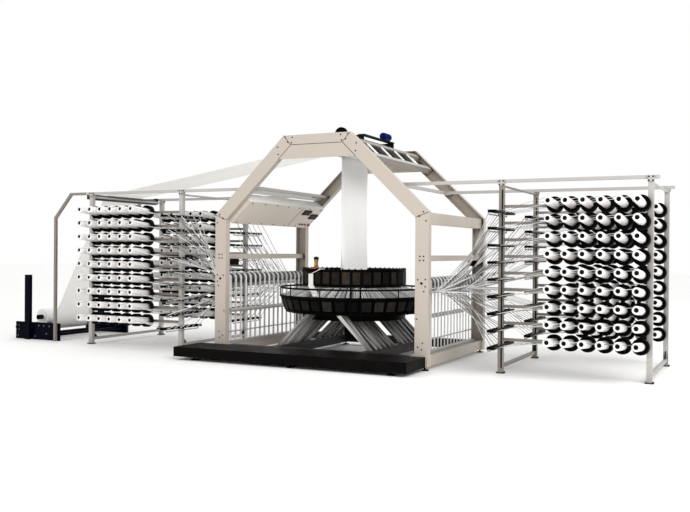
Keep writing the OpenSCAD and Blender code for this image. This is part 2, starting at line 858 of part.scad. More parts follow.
module shuttle_race() placed() color("#a9abad") {
  ring(race_in_r, race_out_r, race_z, race_t);
  ring(race_in_r, race_out_r, race_top_z, race_t);
  around(reed_wires) translate([reed_circle_r, 0, race_z + race_t * 2 / 3])
    cylinder(r = reed_r, h = race_top_z - race_z - race_t / 3, $fn = 16);
  around(race_legs)
    translate([reed_circle_r - race_leg_r, 0, housing_z + housing_floor])
      cylinder(r = race_leg_r, h = race_z + race_t / 3 - housing_z - housing_floor, $fn = 24);
}

module weaving_ring() placed() color("#c9ccd0") {
  rotate_extrude() translate([weaving_r, weaving_z]) circle(r = weaving_wire_r);
  ring(column_r + run_fit, spider_hub_r, weaving_z - weaving_wire_r, 2 * weaving_wire_r);
  around(4, 45)
    box([spider_hub_r - spider_arm / 2, -spider_arm / 2, weaving_z - spider_arm / 2],
        [weaving_r, spider_arm / 2, weaving_z + spider_arm / 2]);
}

// Heald frame: two hoops joined by the heald wires, on lugs that slide on the guide rods
module heald_frame(r, low_z, start) {
  difference() {
    union() {
      ring(r, r + heald_bar, low_z, heald_lug_h);
      around(guide_rods, 30) {
        box([r + heald_bar / 2, -heald_lug_r / 2, low_z],
            [guide_circle_r, heald_lug_r / 2, low_z + heald_lug_h]);
        translate([guide_circle_r, 0, low_z]) cylinder(r = heald_lug_r, h = heald_lug_h);
      }
    }
    around(guide_rods, 30) translate([guide_circle_r, 0, low_z - over])
      cylinder(r = guide_rod_r + run_fit, h = heald_lug_h + 2 * over);
  }
  ring(r, r + heald_bar, heald_top_z, heald_bar_h);
  around(heald_wires, start) translate([r + heald_bar / 2, 0, low_z + heald_lug_h / 2])
    cylinder(r = heald_wire_r, h = heald_top_z + heald_bar_h / 2 - low_z - heald_lug_h / 2, $fn = 16);
}

module inner_healds() placed() color("#b7b9bc") heald_frame(inner_heald_r, inner_heald_z, 0);

module outer_healds() placed() color("#b7b9bc") heald_frame(outer_heald_r, outer_heald_z, 180 / heald_wires);

// Guide rods for the heald frames, and the columns that carry the heald drum
module head_pillars() placed() color("#9a9da1") {
  around(guide_rods, 30) translate([guide_circle_r, 0, flange_z])
    cylinder(r = guide_rod_r, h = drum_z + drum_h - drum_rim - flange_z);
  around(drum_columns_n) translate([drum_column_circle, 0, flange_z])
    cylinder(r = drum_column_r, h = drum_z - flange_z);
}

module heald_drum() placed() color(steel_black) {
  top = drum_z + drum_h;
  ring(drum_r - drum_wall, drum_r, drum_z, drum_h);
  ring(drum_shelf_r, drum_r + drum_rim_out, drum_z, drum_rim);
  ring(drum_r - 2 * drum_wall, drum_r + drum_rim_out, top - drum_rim, drum_rim);
  around(drum_ribs)
    box([drum_r - drum_wall / 2, -drum_rib_w / 2, drum_z + drum_rim / 2],
        [drum_r + drum_rib_out, drum_rib_w / 2, top - drum_rim / 2]);
}

module warp_guide_ring() placed() color(steel_black) {
  neck_z = rim_z - rim_h;
  rotate_extrude()
    polygon([[ring_seat_r, flange_z], [flange_r, flange_z], [ring_top_r, neck_z], [rim_r, neck_z],
             [rim_r, rim_z], [rim_in_r, rim_z], [rim_in_r, rim_z - ring_wall],
             [ring_top_r - ring_wall, rim_z - ring_wall], [ring_top_r - ring_wall, neck_z],
             [flange_r - ring_wall, flange_z + ring_wall], [ring_seat_r, flange_z + ring_wall]]);
  around(ring_ribs)
    centred_upright([[flange_r - ring_wall / 2, flange_z], [flange_r + ring_rib_out, flange_z],
                     [ring_top_r + ring_rib_out, neck_z + rim_h / 2],
                     [ring_top_r - ring_wall / 2, neck_z + rim_h / 2]], ring_rib_w);
}

// Cone of warp tapes between the guide ring and the heald drum
module warp_sheet() placed() color(tape_white) difference() {
  rotate_extrude()
    polygon([[sheet_seat_r, rim_z], [sheet_out_r, rim_z], [sheet_out_r, rim_z + sheet_t],
             [sheet_seat_r, rim_z + sheet_t], [sheet_in_r, sheet_in_z], [sheet_in_r, sheet_in_z - sheet_t]]);
  around(sheet_gaps)
    box([sheet_in_r + sheet_gap_margin, -sheet_gap_w / 2, rim_z - over],
        [sheet_seat_r - sheet_gap_margin, sheet_gap_w / 2, sheet_in_z + over]);
}

module guard_rail() placed() color(steel_black) {
  rotate_extrude() translate([rail_r, rail_z]) circle(r = rail_wire_r, $fn = 24);
  around(rail_posts) translate([rail_r, 0, rim_z])
    cylinder(r = rail_wire_r * 0.8, h = rail_z - rim_z, $fn = 24);
  for (a = gate_angles) rotate(a) {
    translate([gate_r, 0, gate_bottom]) cylinder(r = gate_rod_r, h = gate_top - gate_bottom, $fn = 24);
    translate([rail_r, 0, rail_z]) rotate([0, 90, 0])
      cylinder(r = rail_wire_r / 2, h = gate_r - rail_r, $fn = 16);
  }
}

module oil_cup() placed() color("#a8772c") rotate(cup_angle)
  translate([drum_r - drum_wall, 0, drum_z + drum_h]) rotate_extrude()
    polygon([[0, 0], [cup_r * 0.5, 0], [cup_r * 0.5, cup_h * 0.18], [cup_r, cup_h * 0.24],
             [cup_r, cup_h * 0.32], [cup_r * 0.86, cup_h * 0.36], [cup_r * 0.86, cup_h * 0.74],
             [cup_r, cup_h * 0.78], [cup_r, cup_h * 0.9], [cup_r * 0.6, cup_h], [0, cup_h]]);

module oil_bracket() placed() color("#e9e8e4") rotate(bracket_angle) {
  top = drum_z + drum_h + bracket_t / 2;
  knee = [bracket_mid_r * cos(-bracket_swing), bracket_mid_r * sin(-bracket_swing), top - bracket_out / 2];
  heel = knee - [0, 0, bracket_drop];
  toe = [rim_r * cos(bracket_swing), rim_r * sin(bracket_swing), rim_z + bracket_t + 2 * sheet_t];
  edge = [drum_r + drum_rim_out + bracket_w / 2, 0, top];
  strip([drum_r - 2 * drum_wall, 0, top], edge, bracket_w, bracket_t);
  strip(edge, knee, bracket_w, bracket_t);
  strip(knee, heel, bracket_w, bracket_t);
  strip(heel, toe, bracket_w, bracket_t);
}

// Tape inlets at both sides
module feed_roller() {
  translate([post_x, 0, feed_z])
    roller(feed_r, web_y - feed_block_t - feed_block_gap, feed_journal_r, web_y - clear);
}

module left_feed_roller() placed() color(steel_black) mirror([1, 0, 0]) feed_roller();

module right_feed_roller() placed() color(steel_black) feed_roller();

module roller_bearings() placed() color("#4b4e53") {
  both_sides() both_ends() difference() {
    box([post_x - feed_block / 2, web_y - feed_block_t, feed_z - feed_block / 2],
        [post_x + feed_block / 2, web_y, feed_z + feed_block / 2]);
    translate([post_x, 0, feed_z]) along_y(feed_journal_r + run_fit, web_y - 2 * feed_block_t, web_y + over);
  }
  both_ends() difference() {
    box([-guide_x - guide_block_w / 2, creel_y - creel_rail / 2 - guide_block_t, creel_h - guide_block_h],
        [-guide_x + guide_block_w / 2, creel_y - creel_rail / 2, creel_h]);
    translate([-guide_x, 0, guide_z])
      along_y(guide_journal_r + run_fit, creel_y - creel_rail - 2 * guide_block_t, creel_y);
  }
}

module inlet_bars() placed() color(tube_grey) both_sides() {
  box([post_x - comb_side / 2, -web_y, comb_z], [post_x + comb_side / 2, web_y, comb_z + comb_side]);
  translate([tube_x, 0, mid_tube_z]) along_y(mid_tube_dia / 2, -edge_y, edge_y);
  translate([post_x - ribbon_r - ribbon_t - tube_gap - rod_r, 0, rod_z]) along_y(rod_r, -edge_y, edge_y);
  translate([collect_x, 0, collect_z]) along_y(collect_r, channel_d / 2 - half_d, half_d - channel_d / 2);
  box([post_x - ribbon_r - ribbon_t - hem_out, -edge_y, base_top], [post_x - hem_out, edge_y, hem_top]);
}

// Flat bunches of tape over the feed roller and down to the rail on the base
module ribbon() {
  translate([0, ribbon_w / 2, 0]) rotate([90, 0, 0]) translate([0, feed_z, 0]) {
    rotate_extrude(angle = 180) translate([ribbon_r, 0]) square([ribbon_t, ribbon_w]);
    translate([-ribbon_r - ribbon_t, hem_top - feed_z, 0]) cube([ribbon_t, feed_z - hem_top, ribbon_w]);
    translate([ribbon_r, collect_z - feed_z, 0]) cube([ribbon_t, feed_z - collect_z, ribbon_w]);
  }
}

module warp_ribbons() placed() color(tape_white) both_sides()
  for (i = [0 : ribbons - 1]) translate([post_x, i * ribbon_pitch - ribbon_span / 2, 0]) ribbon();

// Tapes that run from the guide bars to the collecting bar
module warp_tapes() placed() color(tape_white) both_sides() both_ends()
  for (row = [0 : bobbin_rows - 1], k = [0 : tapes_a_bar - 1]) {
    share = (k + 0.5) / tapes_a_bar;
    land_share = (k + (row + 0.5) / bobbin_rows) / tapes_a_bar;
    from = [creel_in_x - guide_face, creel_y + (share - 0.5) * guide_len,
            first_row_z + row * row_pitch - guide_drop];
    to = [collect_x + collect_r, ribbon_w + land_share * (edge_y - 2 * ribbon_w), collect_z];
    lean_share = (to[0] - from[0]) / norm(to - from);
    seat = [tape_end_gap + tape_r * sqrt(1 - lean_share * lean_share), 0, 0];
    rod(from - seat, to + seat, tape_r);
  }

// Creels
module creel_posts() placed() color(tube_grey) both_sides() both_ends() {
  for (x = [creel_in_x, creel_out_x])
    box([x - creel_post / 2, creel_y - creel_post / 2, 0],
        [x + creel_post / 2, creel_y + creel_post / 2, creel_h - creel_rail]);
  for (x = [creel_in_x, creel_out_x]) {
    box([x - floor_bar / 2, 0, floor_bar_z],
        [x + floor_bar / 2, creel_y - creel_post / 2, floor_bar_z + floor_bar]);
    translate([x, 0, cross_rod_z]) along_y(cross_rod_r, 0, creel_y - creel_post / 2);
  }
}

module creel_top_rails() placed() color(tube_grey) {
  z0 = creel_h - creel_rail;
  both_sides()
    box([creel_tie_x - creel_tie_w / 2, -web_y, z0], [creel_tie_x + creel_tie_w / 2, web_y, creel_h]);
  start = creel_tie_x + creel_tie_w / 2;
  both_ends() {
    box([start, creel_y - creel_rail / 2, z0], [right_end, creel_y + creel_rail / 2, creel_h]);
    upper_miter = creel_rail * tan(bend_upper / 2);
    lower_miter = creel_rail * tan((90 - bend_upper) / 2);
    translate([0, creel_y, 0])
      centred_upright([[-start, creel_h], [-bent_top_x, creel_h], [-bent_foot_x, bent_z], [-bent_foot_x, 0],
                       [creel_rail - bent_foot_x, 0], [creel_rail - bent_foot_x, bent_z - lower_miter],
                       [upper_miter - bent_top_x, z0], [-start, z0]], creel_rail);
  }
}

module bobbin_rails() placed() color(tube_grey) both_sides() both_ends()
  for (row = [0 : bobbin_rows - 1]) {
    z = first_row_z + row * row_pitch;
    box([creel_in_x + creel_post / 2, creel_y - bobbin_rail_d / 2, z - bobbin_rail_h / 2],
        [creel_out_x - creel_post / 2, creel_y + bobbin_rail_d / 2, z + bobbin_rail_h / 2]);
  }

// Places a child at the rail, with its axis out of the front of the bank and tilted up
module at_bobbins() {
  for (side = [-1, 1], bank = [-1, 1], row = [0 : bobbin_rows - 1], column = [0 : bobbin_columns - 1]) {
    $used = (bank < 0 && ((row == 7 && column == 0) || (row == 1 && column == 2)))
         || (bank > 0 && column == 5 && (row == 6 || row == 7));
    x = side * (first_column_x + column * column_pitch) + column_shift;
    translate([x, bank * creel_y - bobbin_rail_d / 2, first_row_z + row * row_pitch])
      rotate([90 - spindle_tilt, 0, 0]) children();
  }
}

module bobbin_spindles() placed() color(steel_black) at_bobbins() rotate_extrude()
  polygon([[0, spindle_seat], [spindle_r, spindle_seat], [spindle_r, disc_back], [disc_r, disc_back],
           [disc_r, disc_back + disc_t], [spindle_r, disc_back + disc_t], [spindle_r, spindle_len],
           [0, spindle_len]]);

module tape_bobbins() placed() color(tape_white) at_bobbins() rotate_extrude() {
  r = $used ? partial_r : bobbin_r;
  end = bobbin_start + bobbin_len;
  polygon([[bobbin_bore_r, bobbin_start], [r - bobbin_edge, bobbin_start], [r, bobbin_start + bobbin_edge],
           [r, end - bobbin_edge], [r - bobbin_edge, end], [bobbin_bore_r, end]]);
}

module guide_bars() placed() color("#3b3a39") both_sides() both_ends()
  for (row = [0 : bobbin_rows - 1])
    translate([creel_in_x, creel_y, first_row_z + row * row_pitch - guide_drop]) difference() {
      box([-guide_face, -guide_len / 2, -guide_bar_h / 2], [guide_face, guide_len / 2, guide_bar_h / 2]);
      box([-guide_seat, guide_bar_t - guide_len / 2, -guide_bar_h],
          [guide_seat, guide_len / 2 - guide_bar_t, guide_bar_h]);
    }

// Cloth: a round tube at the weaving ring that spreads to its flat width at the nip rollers
tube_r = weaving_r - weaving_wire_r / 2;
function tube_share(i) = pow(i / (tube_rings - 1), 2);
function tube_half_y(s) = tube_r + (cloth_w / 2 - tube_r) * pow(s, 0.15);
function tube_half_x(s) = cloth_t / 2 + (tube_r - cloth_t / 2) * (1 - pow(s, 0.22));

module fabric_tube() placed() color(tape_white) {
  points = [for (i = [0 : tube_rings - 1], k = [0 : tube_sides - 1])
    let (s = tube_share(i), a = k * 360 / tube_sides)
      [tube_half_x(s) * cos(a), tube_half_y(s) * sin(a), tube_bottom_z + s * (tube_top_z - tube_bottom_z)]];
  sides = [for (i = [0 : tube_rings - 2], k = [0 : tube_sides - 1])
    let (n = (k + 1) % tube_sides)
      [i * tube_sides + k, (i + 1) * tube_sides + k, (i + 1) * tube_sides + n, i * tube_sides + n]];
  floor_face = [[for (k = [0 : tube_sides - 1]) k]];
  top_face = [[for (k = [0 : tube_sides - 1]) tube_rings * tube_sides - 1 - k]];
  polyhedron(points = points, faces = concat(sides, floor_face, top_face), convexity = 4);
}

// Points along an arc round a centre, from one angle to another
function arc(centre, r, from, to) =
  let (steps = ceil(abs(to - from) / wrap_step))
    [for (i = [0 : steps]) centre + r * ray_at(from + (to - from) * i / steps)];

// One face of the flat cloth, lifted from the face that lies on the nip roller and the top guide roller
function cloth_face(lift) = concat(
  [[lift - cloth_t / 2, tube_top_z]],
  arc(nip_c, nip_wrap + lift, 0, top_angle),
  arc(guide_c, guide_wrap + lift, top_angle, side_angle),
  arc(drum_c, drum_wrap + cloth_t - lift, side_angle + 180, roll_angle));

function reversed(list) = [for (i = [len(list) - 1 : -1 : 0]) list[i]];

module fabric_run() placed() color(tape_white)
  centred_upright(concat(cloth_face(0), reversed(cloth_face(cloth_t))), cloth_w);

module top_guide_roller() placed() color("#55585c") translate([-guide_x, 0, guide_z])
  roller(guide_r, creel_y - creel_rail / 2 - guide_block_t - clear, guide_journal_r,
         creel_y - creel_rail / 2 - clear);

// Winder
module winder_frame() placed() color(navy) {
  both_ends() difference() {
    box([panel_x, panel_y - panel_t / 2, 0], [panel_x + panel_len, panel_y + panel_t / 2, panel_h]);
    for (x = [-drum_x, -drum_x - drum_gap])
      translate([x, 0, winder_z]) along_y(drum_journal_r + run_fit, panel_y - panel_t, panel_y + panel_t);
  }
  both_ends()
    box([winder_post_x - winder_post_w / 2, panel_y + panel_t / 2, 0],
        [winder_post_x + winder_post_w / 2, panel_y + panel_t / 2 + winder_post_d, winder_post_top]);
  for (share = [0.55, 0.9])
    translate([panel_x + share * panel_len, 0, panel_h / 3])
      along_y(winder_tie_r, panel_t / 2 - panel_y, panel_y - panel_t / 2);
}

module winder_drum() roller(winder_r, panel_y - panel_t / 2 - drum_end_gap, drum_journal_r,
                            panel_y + panel_t / 2 - clear);

module right_winder_drum() placed() color("#2c2e33") translate([-drum_x, 0, winder_z]) winder_drum();

module left_winder_drum() placed() color("#2c2e33")
  translate([-drum_x - drum_gap, 0, winder_z]) winder_drum();

module cloth_roll() placed() color(tape_white) translate([roll_x, 0, roll_z])
  roller(roll_r, cloth_w / 2, roll_core_r, cloth_w / 2 + roll_core_out);

operator_platform();
base_beams();
levelling_feet();
front_left_post();
front_right_post();
rear_left_post();
rear_right_post();
portal_bevels();
portal_top_beams();
filler_panels();
roof_beams();
roof_plates();
control_beam();
control_screens();
stop_button();
side_ties();
feed_motors();
takeoff_cheeks();
left_nip_roller();
right_nip_roller();
takeoff_shaft();
handwheel();
takeoff_motor();
stand_legs();
drive_housing();
main_motor();
ring_column();
main_shaft();
shuttle_carrier();
shuttles();
shuttle_race();
weaving_ring();
inner_healds();
outer_healds();
head_pillars();
heald_drum();
warp_guide_ring();
warp_sheet();
guard_rail();
oil_cup();
oil_bracket();
left_feed_roller();
right_feed_roller();
roller_bearings();
inlet_bars();
warp_ribbons();
warp_tapes();
creel_posts();
creel_top_rails();
bobbin_rails();
bobbin_spindles();
tape_bobbins();
guide_bars();
fabric_tube();
fabric_run();
top_guide_roller();
winder_frame();
right_winder_drum();
left_winder_drum();
cloth_roll();
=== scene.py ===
"""Looks of a circular loom: the finish of every solid, and the cloth, tapes and small fittings around them."""

import json
import math
import random

import bpy
from mathutils import Matrix, Vector


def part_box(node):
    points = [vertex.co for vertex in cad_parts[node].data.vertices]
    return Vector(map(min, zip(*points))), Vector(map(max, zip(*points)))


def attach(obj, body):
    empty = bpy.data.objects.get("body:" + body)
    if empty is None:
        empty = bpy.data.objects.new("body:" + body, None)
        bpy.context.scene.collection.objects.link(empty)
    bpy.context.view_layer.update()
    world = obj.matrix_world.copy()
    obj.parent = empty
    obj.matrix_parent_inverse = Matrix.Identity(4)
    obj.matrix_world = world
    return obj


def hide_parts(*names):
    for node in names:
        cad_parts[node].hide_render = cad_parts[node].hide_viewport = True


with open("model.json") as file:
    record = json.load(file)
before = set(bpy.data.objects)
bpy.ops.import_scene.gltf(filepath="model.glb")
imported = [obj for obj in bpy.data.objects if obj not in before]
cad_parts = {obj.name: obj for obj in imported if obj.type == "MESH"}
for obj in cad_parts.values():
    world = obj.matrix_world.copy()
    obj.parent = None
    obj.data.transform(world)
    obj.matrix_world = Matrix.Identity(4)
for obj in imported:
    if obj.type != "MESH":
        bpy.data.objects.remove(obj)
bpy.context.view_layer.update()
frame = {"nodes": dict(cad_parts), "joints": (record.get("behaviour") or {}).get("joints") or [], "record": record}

bl_info = {
    "name": "Circular Loom",
    "version": (1, 0, 0),
    "blender": (4, 5, 0),
    "location": "View3D > Sidebar > Loom",
    "description": "Dresses the solids of a circular loom with cloth, tapes, fittings and finishes",
    "category": "Object",
}

LOOM = "loom"
MM = 0.001
SEED = 29
FULL_TURN = 2 * math.pi

# Both ways along an axis: sides of the loom along X, banks of a creel along Y
WAYS = SIDES = BANKS = (-1, 1)

# Right slope of the portals in XZ, from the axis, as the solids have it: knee, way up it and way into the loom
KNEE = Vector((1.534, 1.906))
UP_SLOPE = Vector((-0.7196, 0.6944))
INTO_SLOPE = Vector((-0.6944, -0.7196))

# Distance of the inner creel posts from the axis
INNER_POST = 2.335
# Height at which the tapes from the creels meet the ribbons
INLET_Z = 0.945
# Two walls of flat cloth, and their distance from a roller
CLOTH_THICK = 3 * MM
CLOTH_GAP = 0.5 * MM


def centre(node):
    """Middle of a solid's box."""
    low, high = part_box(node)
    return (low + high) / 2


def reach(node):
    """Length of a solid's box along X, Y and Z."""
    low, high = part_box(node)
    return high - low


AXIS = centre("main_shaft")


def loom(x, y, z):
    """Point given from the axis of the weaving head."""
    return Vector((AXIS.x + x, AXIS.y + y, z))


def around(turn, radius, z):
    """Point on a circle about the axis of the weaving head."""
    return loom(radius * math.cos(turn), radius * math.sin(turn), z)


def upright(p):
    """Vector of the XZ plane in space."""
    return Vector((p.x, 0, p.y))


def linear(hex_colour):
    """Linear colour of an sRGB hex value."""
    parts = [int(hex_colour[i:i + 2], 16) / 255 for i in (1, 3, 5)]
    return tuple(p / 12.92 if p <= 0.04045 else ((p + 0.055) / 1.055) ** 2.4 for p in parts)


def colour(name, description, hex_colour):
    """Colour setting with an sRGB hex default."""
    return bpy.props.FloatVectorProperty(name=name, description=description, subtype="COLOR", size=3, min=0, max=1,
                                         default=linear(hex_colour))


def length(name, description, default):
    """Length setting in metres."""
    return bpy.props.FloatProperty(name=name, description=description, default=default, min=0, unit="LENGTH")


def angle(name, description, degrees):
    """Angle setting, given in degrees."""
    return bpy.props.FloatProperty(name=name, description=description, default=math.radians(degrees), subtype="ANGLE")


def number(name, description, default, least=1):
    """Whole number, from a least value up."""
    return bpy.props.IntProperty(name=name, description=description, default=default, min=least)


class LoomColours(bpy.types.PropertyGroup):
    """Colours of the loom's finishes."""

    frame_coat: colour("Frame coat", "Powder coat of the portal frame", "#B6ACA0")
    black_enamel: colour("Black enamel", "Enamel of the base and the weaving head", "#050404")
    # Painted light: the control beam's coat is paler than the frame's to make up for the light that its inward slope
    # misses
    cover_coat: colour("Cover coat", "Powder coat of the control beam", "#DDD2C4")
    plate_enamel: colour("Plate enamel", "White enamel of plates and brackets", "#EEEDE9")
    screen: colour("Screen", "Dark screens of the control beam", "#0E1014")
    stop_red: colour("Stop red", "Stop button", "#B3121C")
    roller_rubber: colour("Roller rubber", "Rubber of the rollers", "#14161B")
    steel: colour("Steel", "Turned and ground steel", "#A6A8AB")
    motor_blue: colour("Motor blue", "Enamel of the take-off motor", "#0B1A5E")
    iron: colour("Iron", "Painted castings", "#131416")
    alloy: colour("Alloy", "Machined shuttles", "#A9A59C")
    tape: colour("Tape", "Flat tapes and the cloth woven from them", "#FBFAF8")
    package: colour("Package", "Tape wound on a bobbin", "#F3F0EE")
    brass: colour("Brass", "Oil cup", "#B08A3C")
    zinc: colour("Zinc", "Plated tubes of the creels", "#B0ACA8")
    raw_steel: colour("Raw steel", "Oiled raw tubes of the creels", "#857D75")
    black_plastic: colour("Black plastic", "Discs and spindles of the creels", "#040405")
    winder_navy: colour("Winder navy", "Enamel of the winder", "#02030E")
    floor: colour("Floor", "Pale floor", "#FCFCFB")


class LoomSizes(bpy.types.PropertyGroup):
    """Sizes of what is added to the solids."""

    frame_bolt: length("Frame bolt", "Thread size of the bolts in the portals", 8.68 * MM)
    small_bolt: length("Small bolt", "Thread size of the bolts in brackets and covers", 9 * MM)
    cloth_wall: length("Cloth wall", "Thickness of one wall of the cloth", 1.2 * MM)
    pleat: length("Pleat", "Depth of the soft pleats in the cloth tube", 5 * MM)
    run_sag: length("Run sag", "Sag of the flat cloth between its rollers", 14 * MM)
    tape_width: length("Tape width", "Width of a flat tape", 9 * MM)
    tape_gap: length("Tape gap", "Gap between the tapes of a ribbon", 1.2 * MM)
    drawn_tape: length("Drawn tape", "Width of a tape drawn from a bobbin", 10.5 * MM)
    eyelet: length("Eyelet", "Outer radius of a ceramic eyelet", 10 * MM)
    cup_depth: length("Cup depth", "Depth of the cup round the foot of a bobbin", 75 * MM)
    ribbon_tapes: number("Ribbon tapes", "Tapes in a ribbon", 5)
    warp_tapes: number("Warp tapes", "Tapes in the warp cone", 432, 12)


class CreelSizes(bpy.types.PropertyGroup):
    """Places of the bobbins and guide bars, as the solids have them."""

    rows: number("Rows", "Rows of bobbins", 9)
    columns: number("Columns", "Bobbins in a row", 6)
    first_row: length("First row", "Height of the lowest row", 0.400)
    row_pitch: length("Row pitch", "Height from row to row", 0.1966)
    first_column: length("First column", "Distance of the first column from the axis", 2.935)
    column_pitch: length("Column pitch", "Distance from column to column", 0.189)
    bank: length("Bank", "Distance of a bank from the middle plane", 0.828)
    rail_face: length("Rail face", "Distance from a bank's middle to the face of its rail", 0.015)
    shift: length("Shift", "Shift of the bobbins along the row", 0.045)
    tilt: angle("Tilt", "Upward tilt of the spindles", 4.5)
    start: length("Start", "Distance from the rail to the wound tape", 0.0322)
    wound: length("Wound", "Length of the wound tape", 0.420)
    full_radius: length("Full radius", "Radius of a full bobbin", 0.047)
    used_radius: length("Used radius", "Radius of a bobbin that is part used", 0.03995)
    bore: length("Bore", "Radius of the bore", 0.0263)
    inner_post: length("Inner post", "Distance of the inner posts from the axis", INNER_POST)
    outer_post: length("Outer post", "Distance of the outer posts from the axis", 4.010)
    post: length("Post", "Side of a post", 0.060)
    bar: length("Bar", "Length of a guide bar", 0.860)
    bar_face: length("Bar face", "Distance of a guide bar's face from the middle of its post", 0.0442)
    bar_drop: length("Bar drop", "Depth of a guide bar below its row", 0.070)


class StageSettings(bpy.types.PropertyGroup):
    """Camera, lights and floor."""

    camera_place: bpy.props.FloatVectorProperty(name="Camera place", description="Camera, from the loom's axis",
                                                default=(5.165, -10.722, 1.42), subtype="TRANSLATION")
    yaw: angle("Yaw", "Turn of the camera to the left of +Y", 26.35)
    pitch: angle("Pitch", "Turn of the camera below the horizon", 0.272)
    roll: angle("Roll", "Turn of the camera about its view", 0.459)
    lens: bpy.props.FloatProperty(name="Lens", description="Focal length in millimetres", default=44.56)
    sky: bpy.props.FloatProperty(name="Sky", description="Strength of the even light", default=1.0)
    key: bpy.props.FloatProperty(name="Key", description="Power of the large light in watts", default=700)
    fill: bpy.props.FloatProperty(name="Fill", description="Power of the front light in watts", default=90)
    floor_size: length("Floor size", "Side of the floor", 120)


# Meshes

class Form:
    """Points and faces of a mesh in the making, with a place in metres on the surface for each face corner."""

    def __init__(self):
        self.points = []
        self.faces = []
        self.places = []

    def add(self, part, at=Matrix()):
        points, faces, places = part
        first = len(self.points)
        self.points += [at @ Vector(p) for p in points]
        self.faces += [tuple(first + i for i in face) for face in faces]
        self.places += places


def turns(count, offset=0.0):
    """Angles spread evenly over a full turn."""
    return [FULL_TURN * (k + offset) / count for k in range(count)]


def loft(rings, closed=True, caps=True):
    """Skin through rings of points, as points, faces and places on the surface."""
    count = len(rings[0])
    spans = count if closed else count - 1
    middle = rings[len(rings) // 2]
    round_it = [0.0]
    for i in range(spans):
        round_it.append(round_it[-1] + (Vector(middle[(i + 1) % count]) - Vector(middle[i])).length)
    along = [0.0]
    for a, b in zip(rings, rings[1:]):
        along.append(along[-1] + (Vector(b[0]) - Vector(a[0])).length)
    points = [p for ring in rings for p in ring]
    faces = []
    places = []
    for j in range(len(rings) - 1):
        for i in range(spans):
            n = (i + 1) % count
            faces.append((j * count + i, j * count + n, (j + 1) * count + n, (j + 1) * count + i))
            places.append(((round_it[i], along[j]), (round_it[i + 1], along[j]),
                           (round_it[i + 1], along[j + 1]), (round_it[i], along[j + 1])))
    if caps:
        last = (len(rings) - 1) * count
        for face in (tuple(range(count))[::-1], tuple(range(last, last + count))):
            faces.append(face)
            places.append(tuple((round_it[i % count], along[i // count]) for i in face))
    return points, faces, places


def lathe(profile, sides, caps=False):
    """Turned skin about Z from (radius, height) pairs."""
    return loft([[(r * math.cos(a), r * math.sin(a), z) for a in turns(sides)] for r, z in profile], caps=caps)


def lathe_mm(profile, sides, caps=True):
    """Turned skin about Z from pairs in millimetres."""
    return lathe([(r * MM, z * MM) for r, z in profile], sides, caps)


def heading(path, i):
    """Way that a path takes at one of its points."""
    return Vector(path[min(i + 1, len(path) - 1)]) - Vector(path[max(i - 1, 0)])


def tube(path, radius, sides=8):
    """Round tube along a list of points."""
    rings = []
    side = None
    for i, p in enumerate(path):
        run = heading(path, i).normalized()
        side = run.orthogonal() if side is None else side - run * side.dot(run)
        side.normalize()
        up = run.cross(side)
        rings.append([Vector(p) + radius * (math.cos(a) * side + math.sin(a) * up) for a in turns(sides)])
    return loft(rings)


def band(path, across, thickness):
    """Flat band along a list of points; across holds its width and the direction of it at each point."""
    rings = []
    for i, p in enumerate(path):
        wide = Vector(across[i]) / 2
        thick = heading(path, i).cross(wide).normalized() * thickness / 2
        rings.append([Vector(p) - wide - thick, Vector(p) + wide - thick, Vector(p) + wide + thick,
                      Vector(p) - wide + thick])
    return loft(rings)


def block(size, edge):
    """Box on the XY plane, centred on Z, with all its edges broken."""
    x, y, z = size
    rings = []
    for inset, h in ((edge, 0), (0, edge), (0, z - edge), (edge, z)):
        a, b, c = x / 2 - inset, y / 2 - inset, edge
        rings.append([(a, c - b, h), (a, b - c, h), (a - c, b, h), (c - a, b, h), (-a, b - c, h), (-a, c - b, h),
                      (c - a, -b, h), (a - c, -b, h)])
    return loft(rings)


def block_mm(x, y, z, edge):
    """Box with broken edges, in millimetres."""
    return block((x * MM, y * MM, z * MM), edge * MM)


def bolt(size):
    """Washer and chamfered hexagon head on the XY plane, for a thread of that size."""
    form = Form()
    washer = 1.05 * size
    form.add(lathe([(washer, 0), (washer, 0.12 * size), (0.95 * washer, 0.16 * size)], 14, caps=True))
    hexagon = [(0.92 * size, 0.16 * size), (0.92 * size, 0.66 * size), (0.78 * size, 0.78 * size)]
    form.add(lathe(hexagon, 6, caps=True))
    return form.points, form.faces, form.places


def aimed(place, direction):
    """Matrix that puts Z along a direction at a place."""
    turn = Vector((0, 0, 1)).rotation_difference(Vector(direction))
    return Matrix.Translation(place) @ turn.to_matrix().to_4x4()


def piece(name, form, slot, body=LOOM, replaces=(), sharp=38, make=None):
    """Mesh object of a form on its body, with the finish of its slot or one of its own."""
    mesh = bpy.data.meshes.new(name)
    mesh.from_pydata(form.points, [], form.faces)
    layer = mesh.uv_layers.new(name="surface")
    corners = [p for face in form.places for p in face]
    layer.data.foreach_set("uv", [x for p in corners for x in p])
    mesh.validate()
    mesh.shade_smooth()
    mesh.set_sharp_from_angle(angle=math.radians(sharp))
    mesh.materials.append(made_once(make or FINISHES[slot]))
    made = bpy.data.objects.new(name, mesh)
    bpy.context.scene.collection.objects.link(made)
    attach(made, body)
    if replaces:
        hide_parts(*replaces)
    return made


# Materials

# Sockets of a colour mix
MIX_A, MIX_B, MIXED = 6, 7, 2
# Dust and fine scratches take most of the mirror light off dark finishes
DUSTY = {"Specular IOR Level": 0.03}
FILM = {"IOR": 1.49}
# Relief of a powder coat: the peel is about 1 mm on the real coat and is drawn at 5 mm to show
PEEL = (5, 1.0, 0.25, 0.35)


def per_metre(millimetres):
    """Texture scale of a pattern whose features are that far apart."""
    return 1 / (millimetres * MM)


